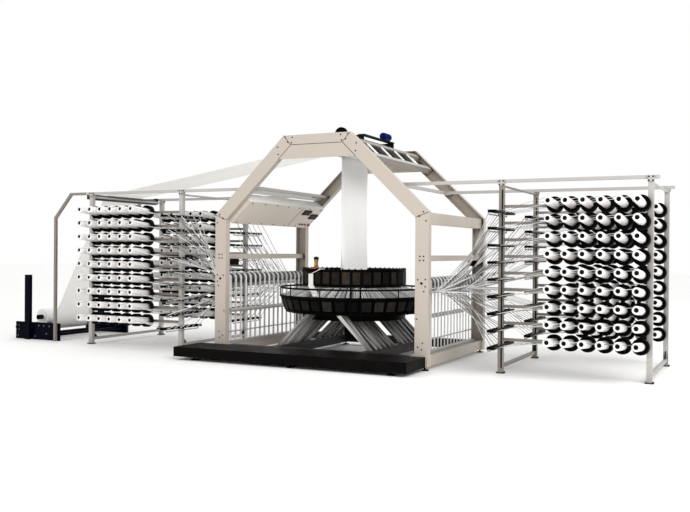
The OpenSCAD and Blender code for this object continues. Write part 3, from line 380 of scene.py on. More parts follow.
def add_node(tree, kind, settings=None, inputs=None, links=None):
    """Adds a node with its settings, its fixed inputs and its links."""
    made = tree.nodes.new(kind)
    for name, value in (settings or {}).items():
        setattr(made, name, value)
    for name, value in (inputs or {}).items():
        made.inputs[name].default_value = value
    for name, source in (links or {}).items():
        tree.links.new(source, made.inputs[name])
    return made


def sorted_inputs(values):
    """Fixed inputs and links, told apart."""
    links = {k: v for k, v in values.items() if isinstance(v, bpy.types.NodeSocket)}
    return {k: v for k, v in values.items() if k not in links}, links


def maths(tree, operation, *terms, clamp=False):
    """Result of a sum; each term is a number or a socket."""
    settings = {"operation": operation, "use_clamp": clamp}
    return add_node(tree, "ShaderNodeMath", settings, *sorted_inputs(dict(enumerate(terms)))).outputs[0]


def start(name, base, roughness, metallic=0.0, **sockets):
    """New material with its shader set, as (material, tree, shader, place in the frame)."""
    material = bpy.data.materials.new(name)
    material.use_nodes = True
    tree = material.node_tree
    shader = tree.nodes["Principled BSDF"]
    values = {"Base Color": (*base, 1), "Roughness": roughness, "Metallic": metallic, **sockets}
    for socket, value in values.items():
        shader.inputs[socket].default_value = value
    place = add_node(tree, "ShaderNodeTexCoord").outputs["Object"]
    return material, tree, shader, place


def mix_colours(tree, factor, low, high):
    """Colour between two by a factor; low is a colour or a socket."""
    first = low if isinstance(low, bpy.types.NodeSocket) else (*low, 1)
    fixed, links = sorted_inputs({MIX_A: first, MIX_B: (*high, 1), "Factor": factor})
    return add_node(tree, "ShaderNodeMix", {"data_type": "RGBA"}, fixed, links).outputs[MIXED]


def shade_by(tree, shader, factor, low, high):
    """Base colour between two colours by a factor."""
    tree.links.new(mix_colours(tree, factor, low, high), shader.inputs["Base Color"])


def rough_by(tree, shader, factor, low, high):
    """Roughness between two values by a factor."""
    spread = add_node(tree, "ShaderNodeMapRange", None, {"To Min": low, "To Max": high}, {"Value": factor})
    tree.links.new(spread.outputs["Result"], shader.inputs["Roughness"])


def bump_by(tree, shader, height, depth_mm, strength):
    """Bump of a real depth from a height between 0 and 1."""
    bump = add_node(tree, "ShaderNodeBump", None, {"Strength": strength, "Distance": depth_mm * MM},
                    {"Height": height})
    tree.links.new(bump.outputs["Normal"], shader.inputs["Normal"])


def scaled(base, share):
    """Colour made darker or lighter."""
    return tuple(min(1, share * c) for c in base)


def noise(tree, place, size_mm, detail=3.0):
    """Cloudy pattern of that feature size."""
    return add_node(tree, "ShaderNodeTexNoise", None, {"Scale": per_metre(size_mm), "Detail": detail},
                    {"Vector": place}).outputs["Fac"]


def wave(tree, place, direction, apart_mm, **inputs):
    """Bands that far apart: a wave texture of scale 1 has 10 / pi of them to the metre."""
    return add_node(tree, "ShaderNodeTexWave", {"bands_direction": direction},
                    {"Scale": math.pi / 10 * per_metre(apart_mm), **inputs}, {"Vector": place}).outputs["Fac"]


def open_air(tree, distance_mm):
    """Ambient occlusion, used to paint shade: 1 where nothing is near, less where other faces shelter the place."""
    return add_node(tree, "ShaderNodeAmbientOcclusion", {"samples": 6}, {"Distance": distance_mm * MM}).outputs["AO"]


def axis_of(tree, vector, axis):
    """One part of a vector."""
    return add_node(tree, "ShaderNodeSeparateXYZ", None, None, {"Vector": vector}).outputs[axis]


def island(tree):
    """A value of its own for each loose part of a mesh."""
    return add_node(tree, "ShaderNodeNewGeometry").outputs["Random Per Island"]


def surface_place(tree):
    """Place on the skin of a piece, in metres."""
    return add_node(tree, "ShaderNodeUVMap", {"uv_map": "surface"}).outputs["UV"]


def cloud_finish(parts, shade=None, gloss=None, relief=None):
    """Finish of clouds, each given by its size in mm: shade (size, detail, low, high), gloss (size, low, high) and
    relief (size, detail, depth in mm, strength)."""
    material, tree, shader, place = parts
    if shade:
        shade_by(tree, shader, noise(tree, place, *shade[:2]), *shade[2:])
    if gloss:
        rough_by(tree, shader, noise(tree, place, gloss[0]), *gloss[1:])
    if relief:
        bump_by(tree, shader, noise(tree, place, *relief[:2]), *relief[2:])
    return material


def powder_coat(name, base):
    """Satin coat with patchy wear, and painted shade in its corners and recesses."""
    parts = _, tree, shader, place = start(name, base, 0.46)
    # Painted shade: ambient occlusion darkens the coat in corners and recesses, with a faint cloud of wear added
    wear_and_painted_shade = maths(tree, "MULTIPLY_ADD", noise(tree, place, 520), 0.25, open_air(tree, 160), clamp=True)
    shade_by(tree, shader, wear_and_painted_shade, scaled(base, 0.6), scaled(base, 1.02))
    return cloud_finish(parts, None, (140, 0.38, 0.55), PEEL)


def powder_coated_steel(colours):
    # Powder coat baked on folded sheet: an even satin skin with faint orange peel, patchy wear, and painted shade that
    # darkens the folds and corners
    return powder_coat("powder_coated_steel", colours.frame_coat)


def powder_coat_painted_light(colours):
    # The same coat on the control beam, painted paler than the frame: painted light that makes up for the light its
    # inward slope misses
    return powder_coat("powder_coat_painted_light", colours.cover_coat)


def darker_coated_beams(colours):
    # The frame's coat on the roof beams, darker
    return powder_coat("darker_coated_beams", scaled(colours.frame_coat, 0.62))


def two_coat_beams(colours):
    # Rolled beams: the outer ones carry the frame's pale satin coat, a choice that the photo doesn't show, and the
    # ones under the head are black enamel
    base = colours.frame_coat
    parts = _, tree, shader, place = start("two_coat_beams", base, 0.46)
    away = maths(tree, "ABSOLUTE", maths(tree, "SUBTRACT", axis_of(tree, place, "X"), AXIS.x))
    outer_from = 1.3
    shade_by(tree, shader, maths(tree, "GREATER_THAN", away, outer_from), colours.black_enamel, base)
    return cloud_finish(parts, None, (140, 0.38, 0.55), PEEL)


def sprayed_black_enamel(colours):
    # Enamel sprayed on castings: deep black with a dull satin face, greyer in clouds on faces that look up
    base = colours.black_enamel
    parts = _, tree, shader, place = start("sprayed_black_enamel", base, 0.4, **DUSTY)
    up = axis_of(tree, add_node(tree, "ShaderNodeNewGeometry").outputs["Normal"], "Z")
    cloud = noise(tree, place, 90, 5.0)
    shade_by(tree, shader, maths(tree, "MULTIPLY", up, cloud, clamp=True), base, linear("#171514"))
    rough_by(tree, shader, cloud, 0.28, 0.6)
    # The spray's grain is about 1 mm and is drawn at 4 mm to show
    return cloud_finish(parts, relief=(4, 1.0, 0.2, 0.3))


def tread_plate(colours):
    # Rolled tread plate painted black: raised bars in staggered rows under a dull, dusty paint
    base = colours.black_enamel
    parts = _, tree, shader, place = start("tread_plate", base, 0.42, **DUSTY)
    apart = add_node(tree, "ShaderNodeVectorMath", {"operation": "SCALE"}, {"Scale": per_metre(28)}, {0: place})
    bars = add_node(tree, "ShaderNodeTexBrick", {"offset": 0.5},
                    {"Scale": 1.0, "Mortar Size": 0.24, "Mortar Smooth": 0.4, "Brick Width": 1.0, "Row Height": 0.5},
                    {"Vector": apart.outputs[0]})
    bump_by(tree, shader, bars.outputs["Fac"], 1.5, 0.5)
    return cloud_finish(parts, (160, 5.0, base, linear("#100E0D")), (60, 0.26, 0.55))


def white_enamel(colours):
    # Gloss enamel on cut plate: clean white with a soft sheen and faint stains
    base = colours.plate_enamel
    return cloud_finish(start("white_enamel", base, 0.32), (75, 5.0, scaled(base, 0.86), base), (40, 0.25, 0.45),
                        (4, 1.0, 0.15, 0.3))


def screen_polycarbonate(colours):
    # Moulded polycarbonate window over a dark display: near black, smooth and dusty, with a dim cloud of the panel
    # behind
    base = colours.screen
    return cloud_finish(start("screen_polycarbonate", base, 0.2, **DUSTY), (120, 0.0, base, linear("#1D222B")),
                        (25, 0.08, 0.2))


def moulded_red_abs(colours):
    # Moulded ABS: saturated red with a soft gloss and fine wear
    base = colours.stop_red
    return cloud_finish(start("moulded_red_abs", base, 0.3, IOR=1.54), (12, 3.0, scaled(base, 0.8), base),
                        (6, 0.22, 0.42))


def ground_rubber(colours):
    # Rubber sleeve ground round: dark with a cool sheen and fine rings left by the grinding wheel
    base = colours.roller_rubber
    parts = _, tree, shader, place = start("ground_rubber", base, 0.34, IOR=1.52)
    # The rings are under 1 mm apart and are drawn 11 mm apart to show
    rings = wave(tree, place, "Y", 11.31, Distortion=1.2)
    rough_by(tree, shader, rings, 0.24, 0.42)
    bump_by(tree, shader, rings, 0.12, 0.4)
    return cloud_finish(parts, (70, 3.0, base, linear("#232730")))


def turned_steel(colours):
    # Steel turned and ground: bright, with fine lathe marks and smears of oil
    base = colours.steel
    parts = _, tree, shader, place = start("turned_steel", base, 0.3, 1.0)
    # Lathe marks are a few tenths apart and are drawn 8 mm apart to show
    marks = wave(tree, place, "Z", 7.54, Distortion=2.0, Detail=2.0)
    rough_by(tree, shader, marks, 0.2, 0.42)
    bump_by(tree, shader, marks, 0.06, 0.3)
    return cloud_finish(parts, (60, 5.0, scaled(base, 0.72), base))


def blue_motor_enamel(colours):
    # Enamel over a finned casting: strong dark blue, darker where dirt stays in the grooves
    base = colours.motor_blue
    return cloud_finish(start("blue_motor_enamel", base, 0.34, **DUSTY), (40, 5.0, scaled(base, 0.6), base),
                        (18, 0.25, 0.5), (3, 1.0, 0.2, 0.4))


def sand_cast_iron(colours):
    # Iron cast in sand and painted: near black with a coarse grain and a dull face
    base = colours.iron
    return cloud_finish(start("sand_cast_iron", base, 0.52, **DUSTY),
                        (45, 5.0, scaled(base, 0.7), scaled(base, 1.5)), (15, 0.4, 0.65), (2.5, 2.0, 0.5, 0.5))


def steel_panel(name, base, lightest):
    """Blacked panels, each greyer or blacker in clouds: partly scuffs, partly painted sheen."""
    parts = _, tree, shader, place = start(name, base, 0.4, **DUSTY)
    # Each panel greyer or blacker at random: partly scuffs, partly painted sheen
    scuffs_and_painted_sheen = maths(tree, "MULTIPLY", island(tree), noise(tree, place, 60, 5.0), clamp=True)
    shade_by(tree, shader, scuffs_and_painted_sheen, scaled(base, 0.5), linear(lightest))
    return cloud_finish(parts, None, (25, 0.3, 0.5))


def scuffed_panel_painted_sheen(colours):
    # Rolled steel panels, blacked and scuffed by tape: each one greyer or blacker, the grey partly painted sheen
    return steel_panel("scuffed_panel_painted_sheen", colours.iron, "#4A4740")


def oiled_panel_painted_sheen(colours):
    # The drum's panels, blacked and oiled: near black with brown streaks that are partly painted reflections
    return steel_panel("oiled_panel_painted_sheen", colours.iron, "#4B413A")


def milled_aluminium(colours):
    # Aluminium milled and worn smooth by tape: soft silver, mottled by wear
    base = colours.alloy
    return cloud_finish(start("milled_aluminium", base, 0.36, 1.0), (30, 4.0, scaled(base, 0.75), base),
                        (8, 0.28, 0.48), (2, 2.0, 0.08, 0.4))


def weave(name, base, through):
    """Woven tapes with a waxy sheen; through is the share of light that passes the cloth."""
    material, tree, shader, _ = start(name, base, 0.5, **FILM, **{"Sheen Weight": 0.1})
    surface = surface_place(tree)
    # Tapes are 2.5 mm wide and the weave is drawn at 9 mm to show
    checks = add_node(tree, "ShaderNodeTexChecker", None, {"Scale": per_metre(9)}, {"Vector": surface}).outputs["Fac"]
    streak_place = add_node(tree, "ShaderNodeMapping", None, {"Scale": (per_metre(14), per_metre(900), 1)},
                            {"Vector": surface}).outputs["Vector"]
    streaks = noise(tree, streak_place, 1000, 4.0)
    shade_by(tree, shader, streaks, scaled(base, 0.93), scaled(base, 1.03))
    rough_by(tree, shader, checks, 0.42, 0.6)
    bump_by(tree, shader, maths(tree, "MULTIPLY_ADD", checks, 0.45, streaks), 0.4, 0.4)
    passed = add_node(tree, "ShaderNodeBsdfTranslucent", None, {"Color": (*base, 1)}).outputs["BSDF"]
    mixed = add_node(tree, "ShaderNodeMixShader", None, {"Fac": through}, {1: shader.outputs["BSDF"], 2: passed})
    tree.links.new(mixed.outputs["Shader"], tree.nodes["Material Output"].inputs["Surface"])
    return material


def woven_polypropylene(colours):
    # Polypropylene tapes woven over and under: bright white with a waxy sheen, streaked along the warp
    return weave("woven_polypropylene", colours.tape, 0.0)


def backlit_polypropylene(colours):
    # The same cloth where it runs free: light comes through, so that it looks thin and pale from below
    return weave("backlit_polypropylene", colours.tape, 0.75)


def tape_film(name, base, darkest):
    """Glossy film with painted shade: each tape darker than the base by a random share."""
    parts = _, tree, shader, _ = start(name, base, 0.38, **FILM)
    # Painted shade: each tape darker by a random share
    shade_by(tree, shader, island(tree), scaled(base, darkest), base)
    return cloud_finish(parts, None, (35, 0.28, 0.5), (8, 2.0, 0.2, 0.4))


def flat_tape_painted_shade(colours):
    # Slit and drawn polypropylene film: white and glossy, with painted shade that makes each tape lighter or darker
    return tape_film("flat_tape_painted_shade", colours.tape, 0.35)


def free_tape_painted_shade(colours):
    # The same film running free, with deeper painted shade: some tapes stay white and others are near black
    return tape_film("free_tape_painted_shade", colours.tape, 0.05)


def cross_wound_tape(colours):
    # Tape wound to and fro on its tube: white with a fine net of crossing edges and soft shoulders
    base = colours.package
    parts = _, tree, shader, _ = start("cross_wound_tape", base, 0.42, **FILM)
    surface = surface_place(tree)
    # Tapes are 3 mm wide and the crossing is drawn at 19 mm to show
    lays = []
    for lean in (-14, 14):
        turned = add_node(tree, "ShaderNodeMapping", None, {"Rotation": (0, 0, math.radians(lean))},
                          {"Vector": surface}).outputs["Vector"]
        lays.append(wave(tree, turned, "Y", 18.85, Distortion=0.6))
    bump_by(tree, shader, maths(tree, "MAXIMUM", *lays), 0.35, 0.45)
    shade_by(tree, shader, island(tree), scaled(base, 0.93), scaled(base, 1.03))
    return cloud_finish(parts, None, (20, 0.34, 0.52))


def polished_brass(colours):
    # Brass turned and polished: warm gold, dulled in spots by oil
    base = colours.brass
    return cloud_finish(start("polished_brass", base, 0.25, 1.0), (14, 4.0, scaled(base, 0.7), base),
                        (9, 0.16, 0.4))


def drawn_tube(name, colours, base, raw_x=0.0, raw_half=0.0):
    """Plated tube with painted shade, near black, where other pieces shelter it; raw within a distance along X of a
    place given from the loom's axis.
    """
    parts = _, tree, shader, place = start(name, base, 0.42, 0.3)
    # Painted shade: ambient occlusion takes the plated colour near black where other pieces shelter it, with faint
    # blotches
    wear_and_painted_shade = maths(tree, "MULTIPLY_ADD", noise(tree, place, 85, 4.0), 0.2, open_air(tree, 260), clamp=True)
    plated = mix_colours(tree, wear_and_painted_shade, scaled(base, 0.08), scaled(base, 1.08))
    raw = maths(tree, "COMPARE", axis_of(tree, place, "X"), AXIS.x + raw_x, raw_half)
    shade_by(tree, shader, raw, plated, colours.raw_steel)
    return cloud_finish(parts, None, (22, 0.32, 0.52), (6, 2.0, 0.1, 0.3))


def zinc_plated_tube(colours):
    # Drawn tube plated with zinc: pale grey metal in faint blotches, with painted shade, near black, where other
    # pieces shelter it
    return drawn_tube("zinc_plated_tube", colours, colours.zinc)


def dull_zinc_rail(colours):
    # The same plating on the bobbin rails, darker and browner
    return drawn_tube("dull_zinc_rail", colours, scaled(colours.raw_steel, 0.9))


def raw_ended_posts(colours):
    # The same tube; the inner posts of the right creel are oiled raw steel, browner and darker
    return drawn_tube("raw_ended_posts", colours, colours.zinc, raw_x=INNER_POST, raw_half=0.1)


def raw_ended_rails(colours):
    # The same tube; the bent frame at the left end is oiled raw steel
    return drawn_tube("raw_ended_rails", colours, colours.zinc, raw_x=-6.0, raw_half=1.88)


def rolled_flat_steel(colours):
    # Hot-rolled flat bars: pale or dark grey from bar to bar, and painted shade, near black, in the slots between them
    base = colours.zinc
    parts = _, tree, shader, _ = start("rolled_flat_steel", base, 0.45)
    # Painted shade: ambient occlusion darkens the slots between the bars, and each bar gets its own grey
    bar_tone_and_painted_shade = maths(tree, "MULTIPLY", maths(tree, "POWER", open_air(tree, 220), 1.8), island(tree))
    shade_by(tree, shader, bar_tone_and_painted_shade, scaled(base, 0.03), scaled(base, 1.6))
    return cloud_finish(parts, None, (30, 0.35, 0.6), (6, 2.0, 0.15, 0.3))


def moulded_black_abs(colours):
    # Moulded ABS: matt black with a fine spark-eroded grain
    base = colours.black_plastic
    return cloud_finish(start("moulded_black_abs", base, 0.48, **DUSTY), (50, 3.0, base, linear("#1D1D20")),
                        (20, 0.38, 0.58), (3, 1.0, 0.12, 0.4))


def navy_enamel(colours):
    # Enamel rolled on plate: very dark blue with a dull satin face and faint scuffs
    base = colours.winder_navy
    return cloud_finish(start("navy_enamel", base, 0.42, **DUSTY), (110, 5.0, base, scaled(base, 1.6)),
                        (45, 0.3, 0.55), (4, 1.0, 0.2, 0.3))


def painted_floor(colours):
    # Floor paint, rolled on: pale and matt with the faintest cloud
    base = colours.floor
    return cloud_finish(start("painted_floor", base, 0.7), (1800, 3.0, scaled(base, 0.985), base))


FINISHES = {
    "painted_frame": powder_coated_steel, "black_paint": sprayed_black_enamel, "white_paint": white_enamel,
    "screen_glass": screen_polycarbonate, "red_plastic": moulded_red_abs, "roller_rubber": ground_rubber,
    "bright_steel": turned_steel, "blue_paint": blue_motor_enamel, "dark_iron": sand_cast_iron,
    "shuttle_alloy": milled_aluminium, "woven_tape": woven_polypropylene, "tape_package": cross_wound_tape,
    "oil_brass": polished_brass, "grey_tube": zinc_plated_tube, "black_plastic": moulded_black_abs,
    "navy_paint": navy_enamel,
}
# Solids whose finish differs from that of their slot
OWN_FINISHES = {
    "operator_platform": tread_plate, "warp_ribbons": flat_tape_painted_shade, "control_beam": powder_coat_painted_light,
    "takeoff_cheeks": sand_cast_iron, "stand_legs": rolled_flat_steel, "base_beams": two_coat_beams,
    "roof_beams": darker_coated_beams, "bobbin_rails": dull_zinc_rail, "top_guide_roller": ground_rubber,
    "creel_posts": raw_ended_posts, "creel_top_rails": raw_ended_rails,
}


def made_once(make):
    """Material of a finish, made at its first use."""
    return bpy.data.materials.get(make.__name__) or make(bpy.context.scene.loom_colours)


# Pieces

class LOOM_OT_paint_solids(bpy.types.Operator):
    """Gives every solid its finish"""

    bl_idname = "loom.paint_solids"
    bl_label = "Paint Solids"

    def execute(self, context):
        for row in frame["record"]["subparts"]:
            mesh = frame["nodes"][row["node"]].data
            mesh.materials.clear()
            mesh.materials.append(made_once(OWN_FINISHES.get(row["node"]) or FINISHES[row["material_slot"]]))
        return {"FINISHED"}


def cloth_tube_ring(share, thin, pleat, sides, waves):
    """Ring of points of the cloth tube at a share of its height: round below, flat at the top."""
    low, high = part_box("fabric_tube")
    round_r = (high.x - low.x) / 2
    flat_half = (high.y - low.y) / 2
    half_y = round_r + (flat_half - round_r) * share ** 0.15
    half_x = thin + (round_r - thin) * (1 - share ** 0.22)
    depth = pleat * min(1, 6 * share) * min(1, 5 * (1 - share)) * min(1, half_x / pleat)
    ring = []
    for a in turns(sides):
        out = Vector((math.cos(a) / half_x, math.sin(a) / half_y)).normalized()
        fold = depth * sum(size * math.sin(count * a + phase + lean * share) for size, count, phase, lean in waves)
        ring.append(loom(half_x * math.cos(a) + fold * out.x, half_y * math.sin(a) + fold * out.y,
                         low.z + share * (high.z - low.z)))
    return ring


class LOOM_OT_weave_tube(bpy.types.Operator):
    """Makes the tube of cloth that rises from the weaving ring and flattens to the nip rollers"""

    bl_idname = "loom.weave_tube"
    bl_label = "Weave Tube"

    def execute(self, context):
        sizes = context.scene.loom_sizes
        draw = random.Random(SEED)
        waves = [(share, count, draw.uniform(0, 6), draw.uniform(-2, 2))
                 for share, count in ((0.5, 5), (0.35, 9), (0.25, 14), (0.15, 23))]
        steps, sides = 44, 112
        rings = [cloth_tube_ring((i / steps) ** 2, sizes.cloth_wall * 1.25, sizes.pleat, sides, waves)
                 for i in range(steps + 1)]
        form = Form()
        form.add(loft(rings, caps=False))
        made = piece("cloth_tube", form, "woven_tape", replaces=("fabric_tube",), sharp=80)
        wall = made.modifiers.new("cloth_wall", "SOLIDIFY")
        wall.thickness = sizes.cloth_wall
        wall.offset = -1
        return {"FINISHED"}


def bearing(v):
    """Angle of a vector of the XZ plane."""
    return math.atan2(v[1], v[0])


def ray(turn):
    """Unit vector of the XZ plane at an angle."""
    return Vector((math.cos(turn), math.sin(turn)))


def arc(middle, radius, begin, end, step=math.radians(6)):
    """Points along an arc in the XZ plane."""
    count = math.ceil(abs(end - begin) / step)
    return [middle + radius * ray(begin + (end - begin) * i / count) for i in range(count + 1)]


def cloth_line(sag):
    """Middle line of the flat cloth in the XZ plane, with a share of looseness from 0 to 1 at each point."""
    def roller(node):
        return Vector((centre(node).x, centre(node).z)), reach(node).x / 2 + CLOTH_GAP + CLOTH_THICK / 2

    (nip, nip_r), (guide, guide_r), (drum, drum_r) = map(
        roller, ("left_nip_roller", "top_guide_roller", "right_winder_drum"))
    over = guide - nip
    down = drum - guide
    top = (bearing(over) - math.acos((nip_r - guide_r) / over.length)) % FULL_TURN
    side = (bearing(down) - math.acos((guide_r + drum_r) / down.length)) % FULL_TURN
    roll = centre("cloth_roll")
    end = bearing(Vector((roll.x, roll.z)) - drum)
    line = [(Vector((nip.x + nip_r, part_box("fabric_tube")[1].z)), 0)]
    line += [(p, 0) for p in arc(nip, nip_r, 0, top)]
    spans = [(nip + nip_r * ray(top), guide + guide_r * ray(top), sag, 40, arc(guide, guide_r, top, side)),
             (guide + guide_r * ray(side), drum - drum_r * ray(side), 0, 24, arc(drum, drum_r, side + math.pi, end))]
    for p, q, drop, count, wrap in spans:
        for i in range(1, count):
            loose = 4 * (i / count) * (1 - i / count)
            line.append((p.lerp(q, i / count) - Vector((0, drop * loose)), loose))
        line += [(w, 0) for w in wrap]
    return line


class LOOM_OT_lead_cloth(bpy.types.Operator):
    """Leads the flat cloth over the nip roller and the top guide roller to the winder"""

    bl_idname = "loom.lead_cloth"
    bl_label = "Lead Cloth"

    def execute(self, context):
        draw = random.Random(SEED + 1)
        waves = [(count, draw.uniform(0, 6)) for count in (2, 3, 5, 8)]
        line = cloth_line(context.scene.loom_sizes.run_sag)
        path = [p for p, _ in line]
        half = reach("fabric_run").y / 2
        columns = 30
        fold_depth = 5 * MM
        rings = []
        for i, (p, loose) in enumerate(line):
            run = heading(path, i).normalized()
            out = Vector((run.y, -run.x))
            faces = ([], [])
            for k in range(columns + 1):
                share = k / columns
                fold = loose * fold_depth * sum(math.sin(count * math.pi * share + phase) / count
                                                for count, phase in waves)
                edge = CLOTH_THICK / 2 * min(1, 0.25 + 6 * min(share, 1 - share))
                for face, way in zip(faces, WAYS):
                    q = p + out * (fold + way * edge)
                    face.append(upright(q) + Vector((0, AXIS.y + half * (2 * share - 1), 0)))
            rings.append(faces[0] + faces[1][::-1])
        form = Form()
        form.add(loft(rings))
        made = piece("cloth_run", form, "woven_tape", replaces=("fabric_run",), sharp=70, make=backlit_polypropylene)
        return {"FINISHED"}


class LOOM_OT_wind_cloth(bpy.types.Operator):
    """Makes the roll of wound cloth with its turns showing at the ends, and its core"""

    bl_idname = "loom.wind_cloth"
    bl_label = "Wind Cloth"

    def execute(self, context):
        middle = centre("cloth_roll")
        radius = reach("cloth_roll").x / 2
        core_half = reach("cloth_roll").y / 2
        half = reach("fabric_run").y / 2
        core = 38 * MM
        core_bore = core - 8 * MM
        plug_depth = 30 * MM
        shown, step = 20, 2 * MM
        side = [(core + (radius - 4 * MM - core) * i / shown, half - (i % 2) * step) for i in range(shown + 1)]
        side += [(radius - 1.2 * MM, half - 1.2 * MM), (radius, half - 4 * MM)]
        barrel = [(radius - 0.6 * MM * (i % 2), half * (1 - i / 6)) for i in range(1, 12)]
        at = aimed(middle, (0, 1, 0))
        form = Form()
        form.add(lathe(side + barrel + [(r, -z) for r, z in side[::-1]], 72), at)
        piece("wound_cloth", form, "woven_tape", body="roll", replaces=("cloth_roll",))
        shell = [(core_bore, core_half - plug_depth), (core_bore, core_half - MM), (core_bore + MM, core_half),
                 (core - MM, core_half), (core, core_half - MM), (core, 0)]
        core_form = Form()
        core_form.add(lathe(shell + [(r, -z) for r, z in shell[-2::-1]], 32), at)
        for way in WAYS:
            plug = aimed(middle + Vector((0, way * (core_half - plug_depth), 0)), (0, way, 0))
            core_form.add(lathe([(core_bore, 0), (12 * MM, 0), (10 * MM, 8 * MM)], 24, caps=True), plug)
        piece("roll_core", core_form, "black_plastic", body="roll")
        return {"FINISHED"}


def rounded_ends(bore, radius, begin, end, edge):
    """Profile of a wound bobbin with soft shoulders, closed along its bore."""
    bends = [math.radians(d) for d in (0, 30, 60, 90)]
    low = [(radius - edge + edge * math.sin(b), begin + edge - edge * math.cos(b)) for b in bends]
    soft = 1.7 * edge
    high = [(radius - soft + soft * math.cos(b), end - soft + soft * math.sin(b)) for b in bends]
    lip = [(bore + 5 * MM, end), (bore + 3 * MM, end - 2.5 * MM), (bore, end - 2.5 * MM)]
    return [(bore, begin), *low, *high, *lip, (bore, begin)]


def bobbin_seats(creel):
    """Side, bank, row, column, radius and matrix of every bobbin; the matrix puts Z along its spindle."""
    turn = Matrix.Rotation(math.pi / 2 - creel.tilt, 4, "X")
    for side in SIDES:
        for bank in BANKS:
            for row in range(creel.rows):
                for column in range(creel.columns):
                    used = (bank < 0 and (row, column) in ((7, 0), (1, 2))
                            or bank > 0 and column == 5 and row in (6, 7))
                    place = loom(side * (creel.first_column + column * creel.column_pitch) + creel.shift,
                                 bank * creel.bank - creel.rail_face, creel.first_row + row * creel.row_pitch)
                    radius = creel.used_radius if used else creel.full_radius
                    yield side, bank, row, column, radius, Matrix.Translation(place) @ turn


class LOOM_OT_wind_bobbins(bpy.types.Operator):
    """Makes the wound tape of every bobbin, and the cup round its foot"""

    bl_idname = "loom.wind_bobbins"
    bl_label = "Wind Bobbins"

    def execute(self, context):
        creel = context.scene.loom_creel
        deep = context.scene.loom_sizes.cup_depth
        shoulder = 8 * MM
        forms = {side: Form() for side in SIDES}
        cups = Form()
        rim = deep - 2 * MM
        wall = [(92.5 * MM, 0), (92.5 * MM, rim), (91 * MM, deep), (89 * MM, deep), (88 * MM, rim), (86 * MM, 0)]
        cup = lathe([(r, creel.start + z) for r, z in wall], 28)
        for side, _, _, _, radius, at in bobbin_seats(creel):
            cups.add(cup, at)
            profile = rounded_ends(creel.bore, radius, creel.start, creel.start + creel.wound, shoulder)
            forms[side].add(lathe(profile, 28), at)
        piece("left_tape_bobbins", forms[-1], "tape_package", replaces=("tape_bobbins",))
        piece("right_tape_bobbins", forms[1], "tape_package", replaces=("tape_bobbins",))
        piece("bobbin_cups", cups, "black_plastic")
        return {"FINISHED"}


def bar_place(creel, side, bank, row, share, face=-1):
    """Point on the face of a guide bar at a share of its length; face -1 looks to the loom and 1 away from it."""
    return loom(side * (creel.inner_post + face * creel.bar_face), bank * creel.bank + (share - 0.5) * creel.bar,
                creel.first_row + row * creel.row_pitch - creel.bar_drop)


class LOOM_OT_draw_tapes(bpy.types.Operator):
    """Draws the tapes from the bobbins to the guide bars, and from there to the inlet of the loom"""

    bl_idname = "loom.draw_tapes"
    bl_label = "Draw Tapes"

    def execute(self, context):
        creel = context.scene.loom_creel
        thin = context.scene.loom_sizes.drawn_tape / 2
        nose = creel.start + creel.wound
        land_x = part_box("inlet_bars")[1].x - AXIS.x + thin
        land_from, land_to = 0.052, 1.003
        off_bobbin = Form()
        to_loom = Form()
        for side, bank, row, column, radius, at in bobbin_seats(creel):
            share = (column + 0.5) / creel.columns
            off = Vector((side * thin, 0, 0))
            leave = at @ Vector((0, radius - 12 * MM, nose + thin))
            swing = at @ Vector((-side * 20 * MM, radius - 24 * MM, nose + 30 * MM))
            path = [leave, leave.lerp(swing, 0.55) + Vector((0, 0, 4 * MM)), swing,
                    bar_place(creel, side, bank, row, share, 1) + off]
            off_bobbin.add(tube(path, thin * 0.6, 4))
            land = (column + (row + 0.5) / creel.rows) / creel.columns
            end = loom(side * land_x, bank * (land_from + land * (land_to - land_from)), INLET_Z)
            to_loom.add(tube([bar_place(creel, side, bank, row, share) - off, end], thin, 4))
        piece("bobbin_tapes", off_bobbin, "woven_tape", make=free_tape_painted_shade)
        piece("inlet_tapes", to_loom, "woven_tape", replaces=("warp_tapes",), make=free_tape_painted_shade)
        return {"FINISHED"}


class LOOM_OT_hang_ribbons(bpy.types.Operator):
    """Hangs the ribbons of tape over the feed rollers, each one of several tapes side by side"""

    bl_idname = "loom.hang_ribbons"
    bl_label = "Hang Ribbons"

    def execute(self, context):
        sizes = context.scene.loom_sizes
        draw = random.Random(SEED + 2)
        low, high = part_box("warp_ribbons")
        ribbons, ribbon_w, thin = 17, 52 * MM, 1 * MM
        pitch = (high.y - low.y - ribbon_w) / (ribbons - 1)
        step = sizes.tape_width + sizes.tape_gap
        bends = [math.pi * j / 16 for j in range(17)]
        for side, word in zip(SIDES, ("left", "right")):
            middle = centre(word + "_feed_roller")
            bare = reach(word + "_feed_roller").x / 2 + 0.6 * MM + thin / 2
            form = Form()
            for i in range(ribbons):
                for k in range(sizes.ribbon_tapes):
                    y = low.y + ribbon_w / 2 + i * pitch + (k - (sizes.ribbon_tapes - 1) / 2) * step
                    y += draw.uniform(-0.4, 0.4) * MM
                    radius = bare + draw.uniform(0, 1.2) * MM
                    path = [Vector((middle.x + side * radius, y, INLET_Z))]
                    path += [Vector((middle.x + side * radius * math.cos(t), y, middle.z + radius * math.sin(t)))
                             for t in bends]
                    path.append(Vector((middle.x - side * radius, y, low.z)))
                    form.add(band(path, [(0, sizes.tape_width, 0)] * len(path), thin))
            piece(word + "_ribbons", form, "woven_tape", replaces=("warp_ribbons",), make=flat_tape_painted_shade)
        return {"FINISHED"}


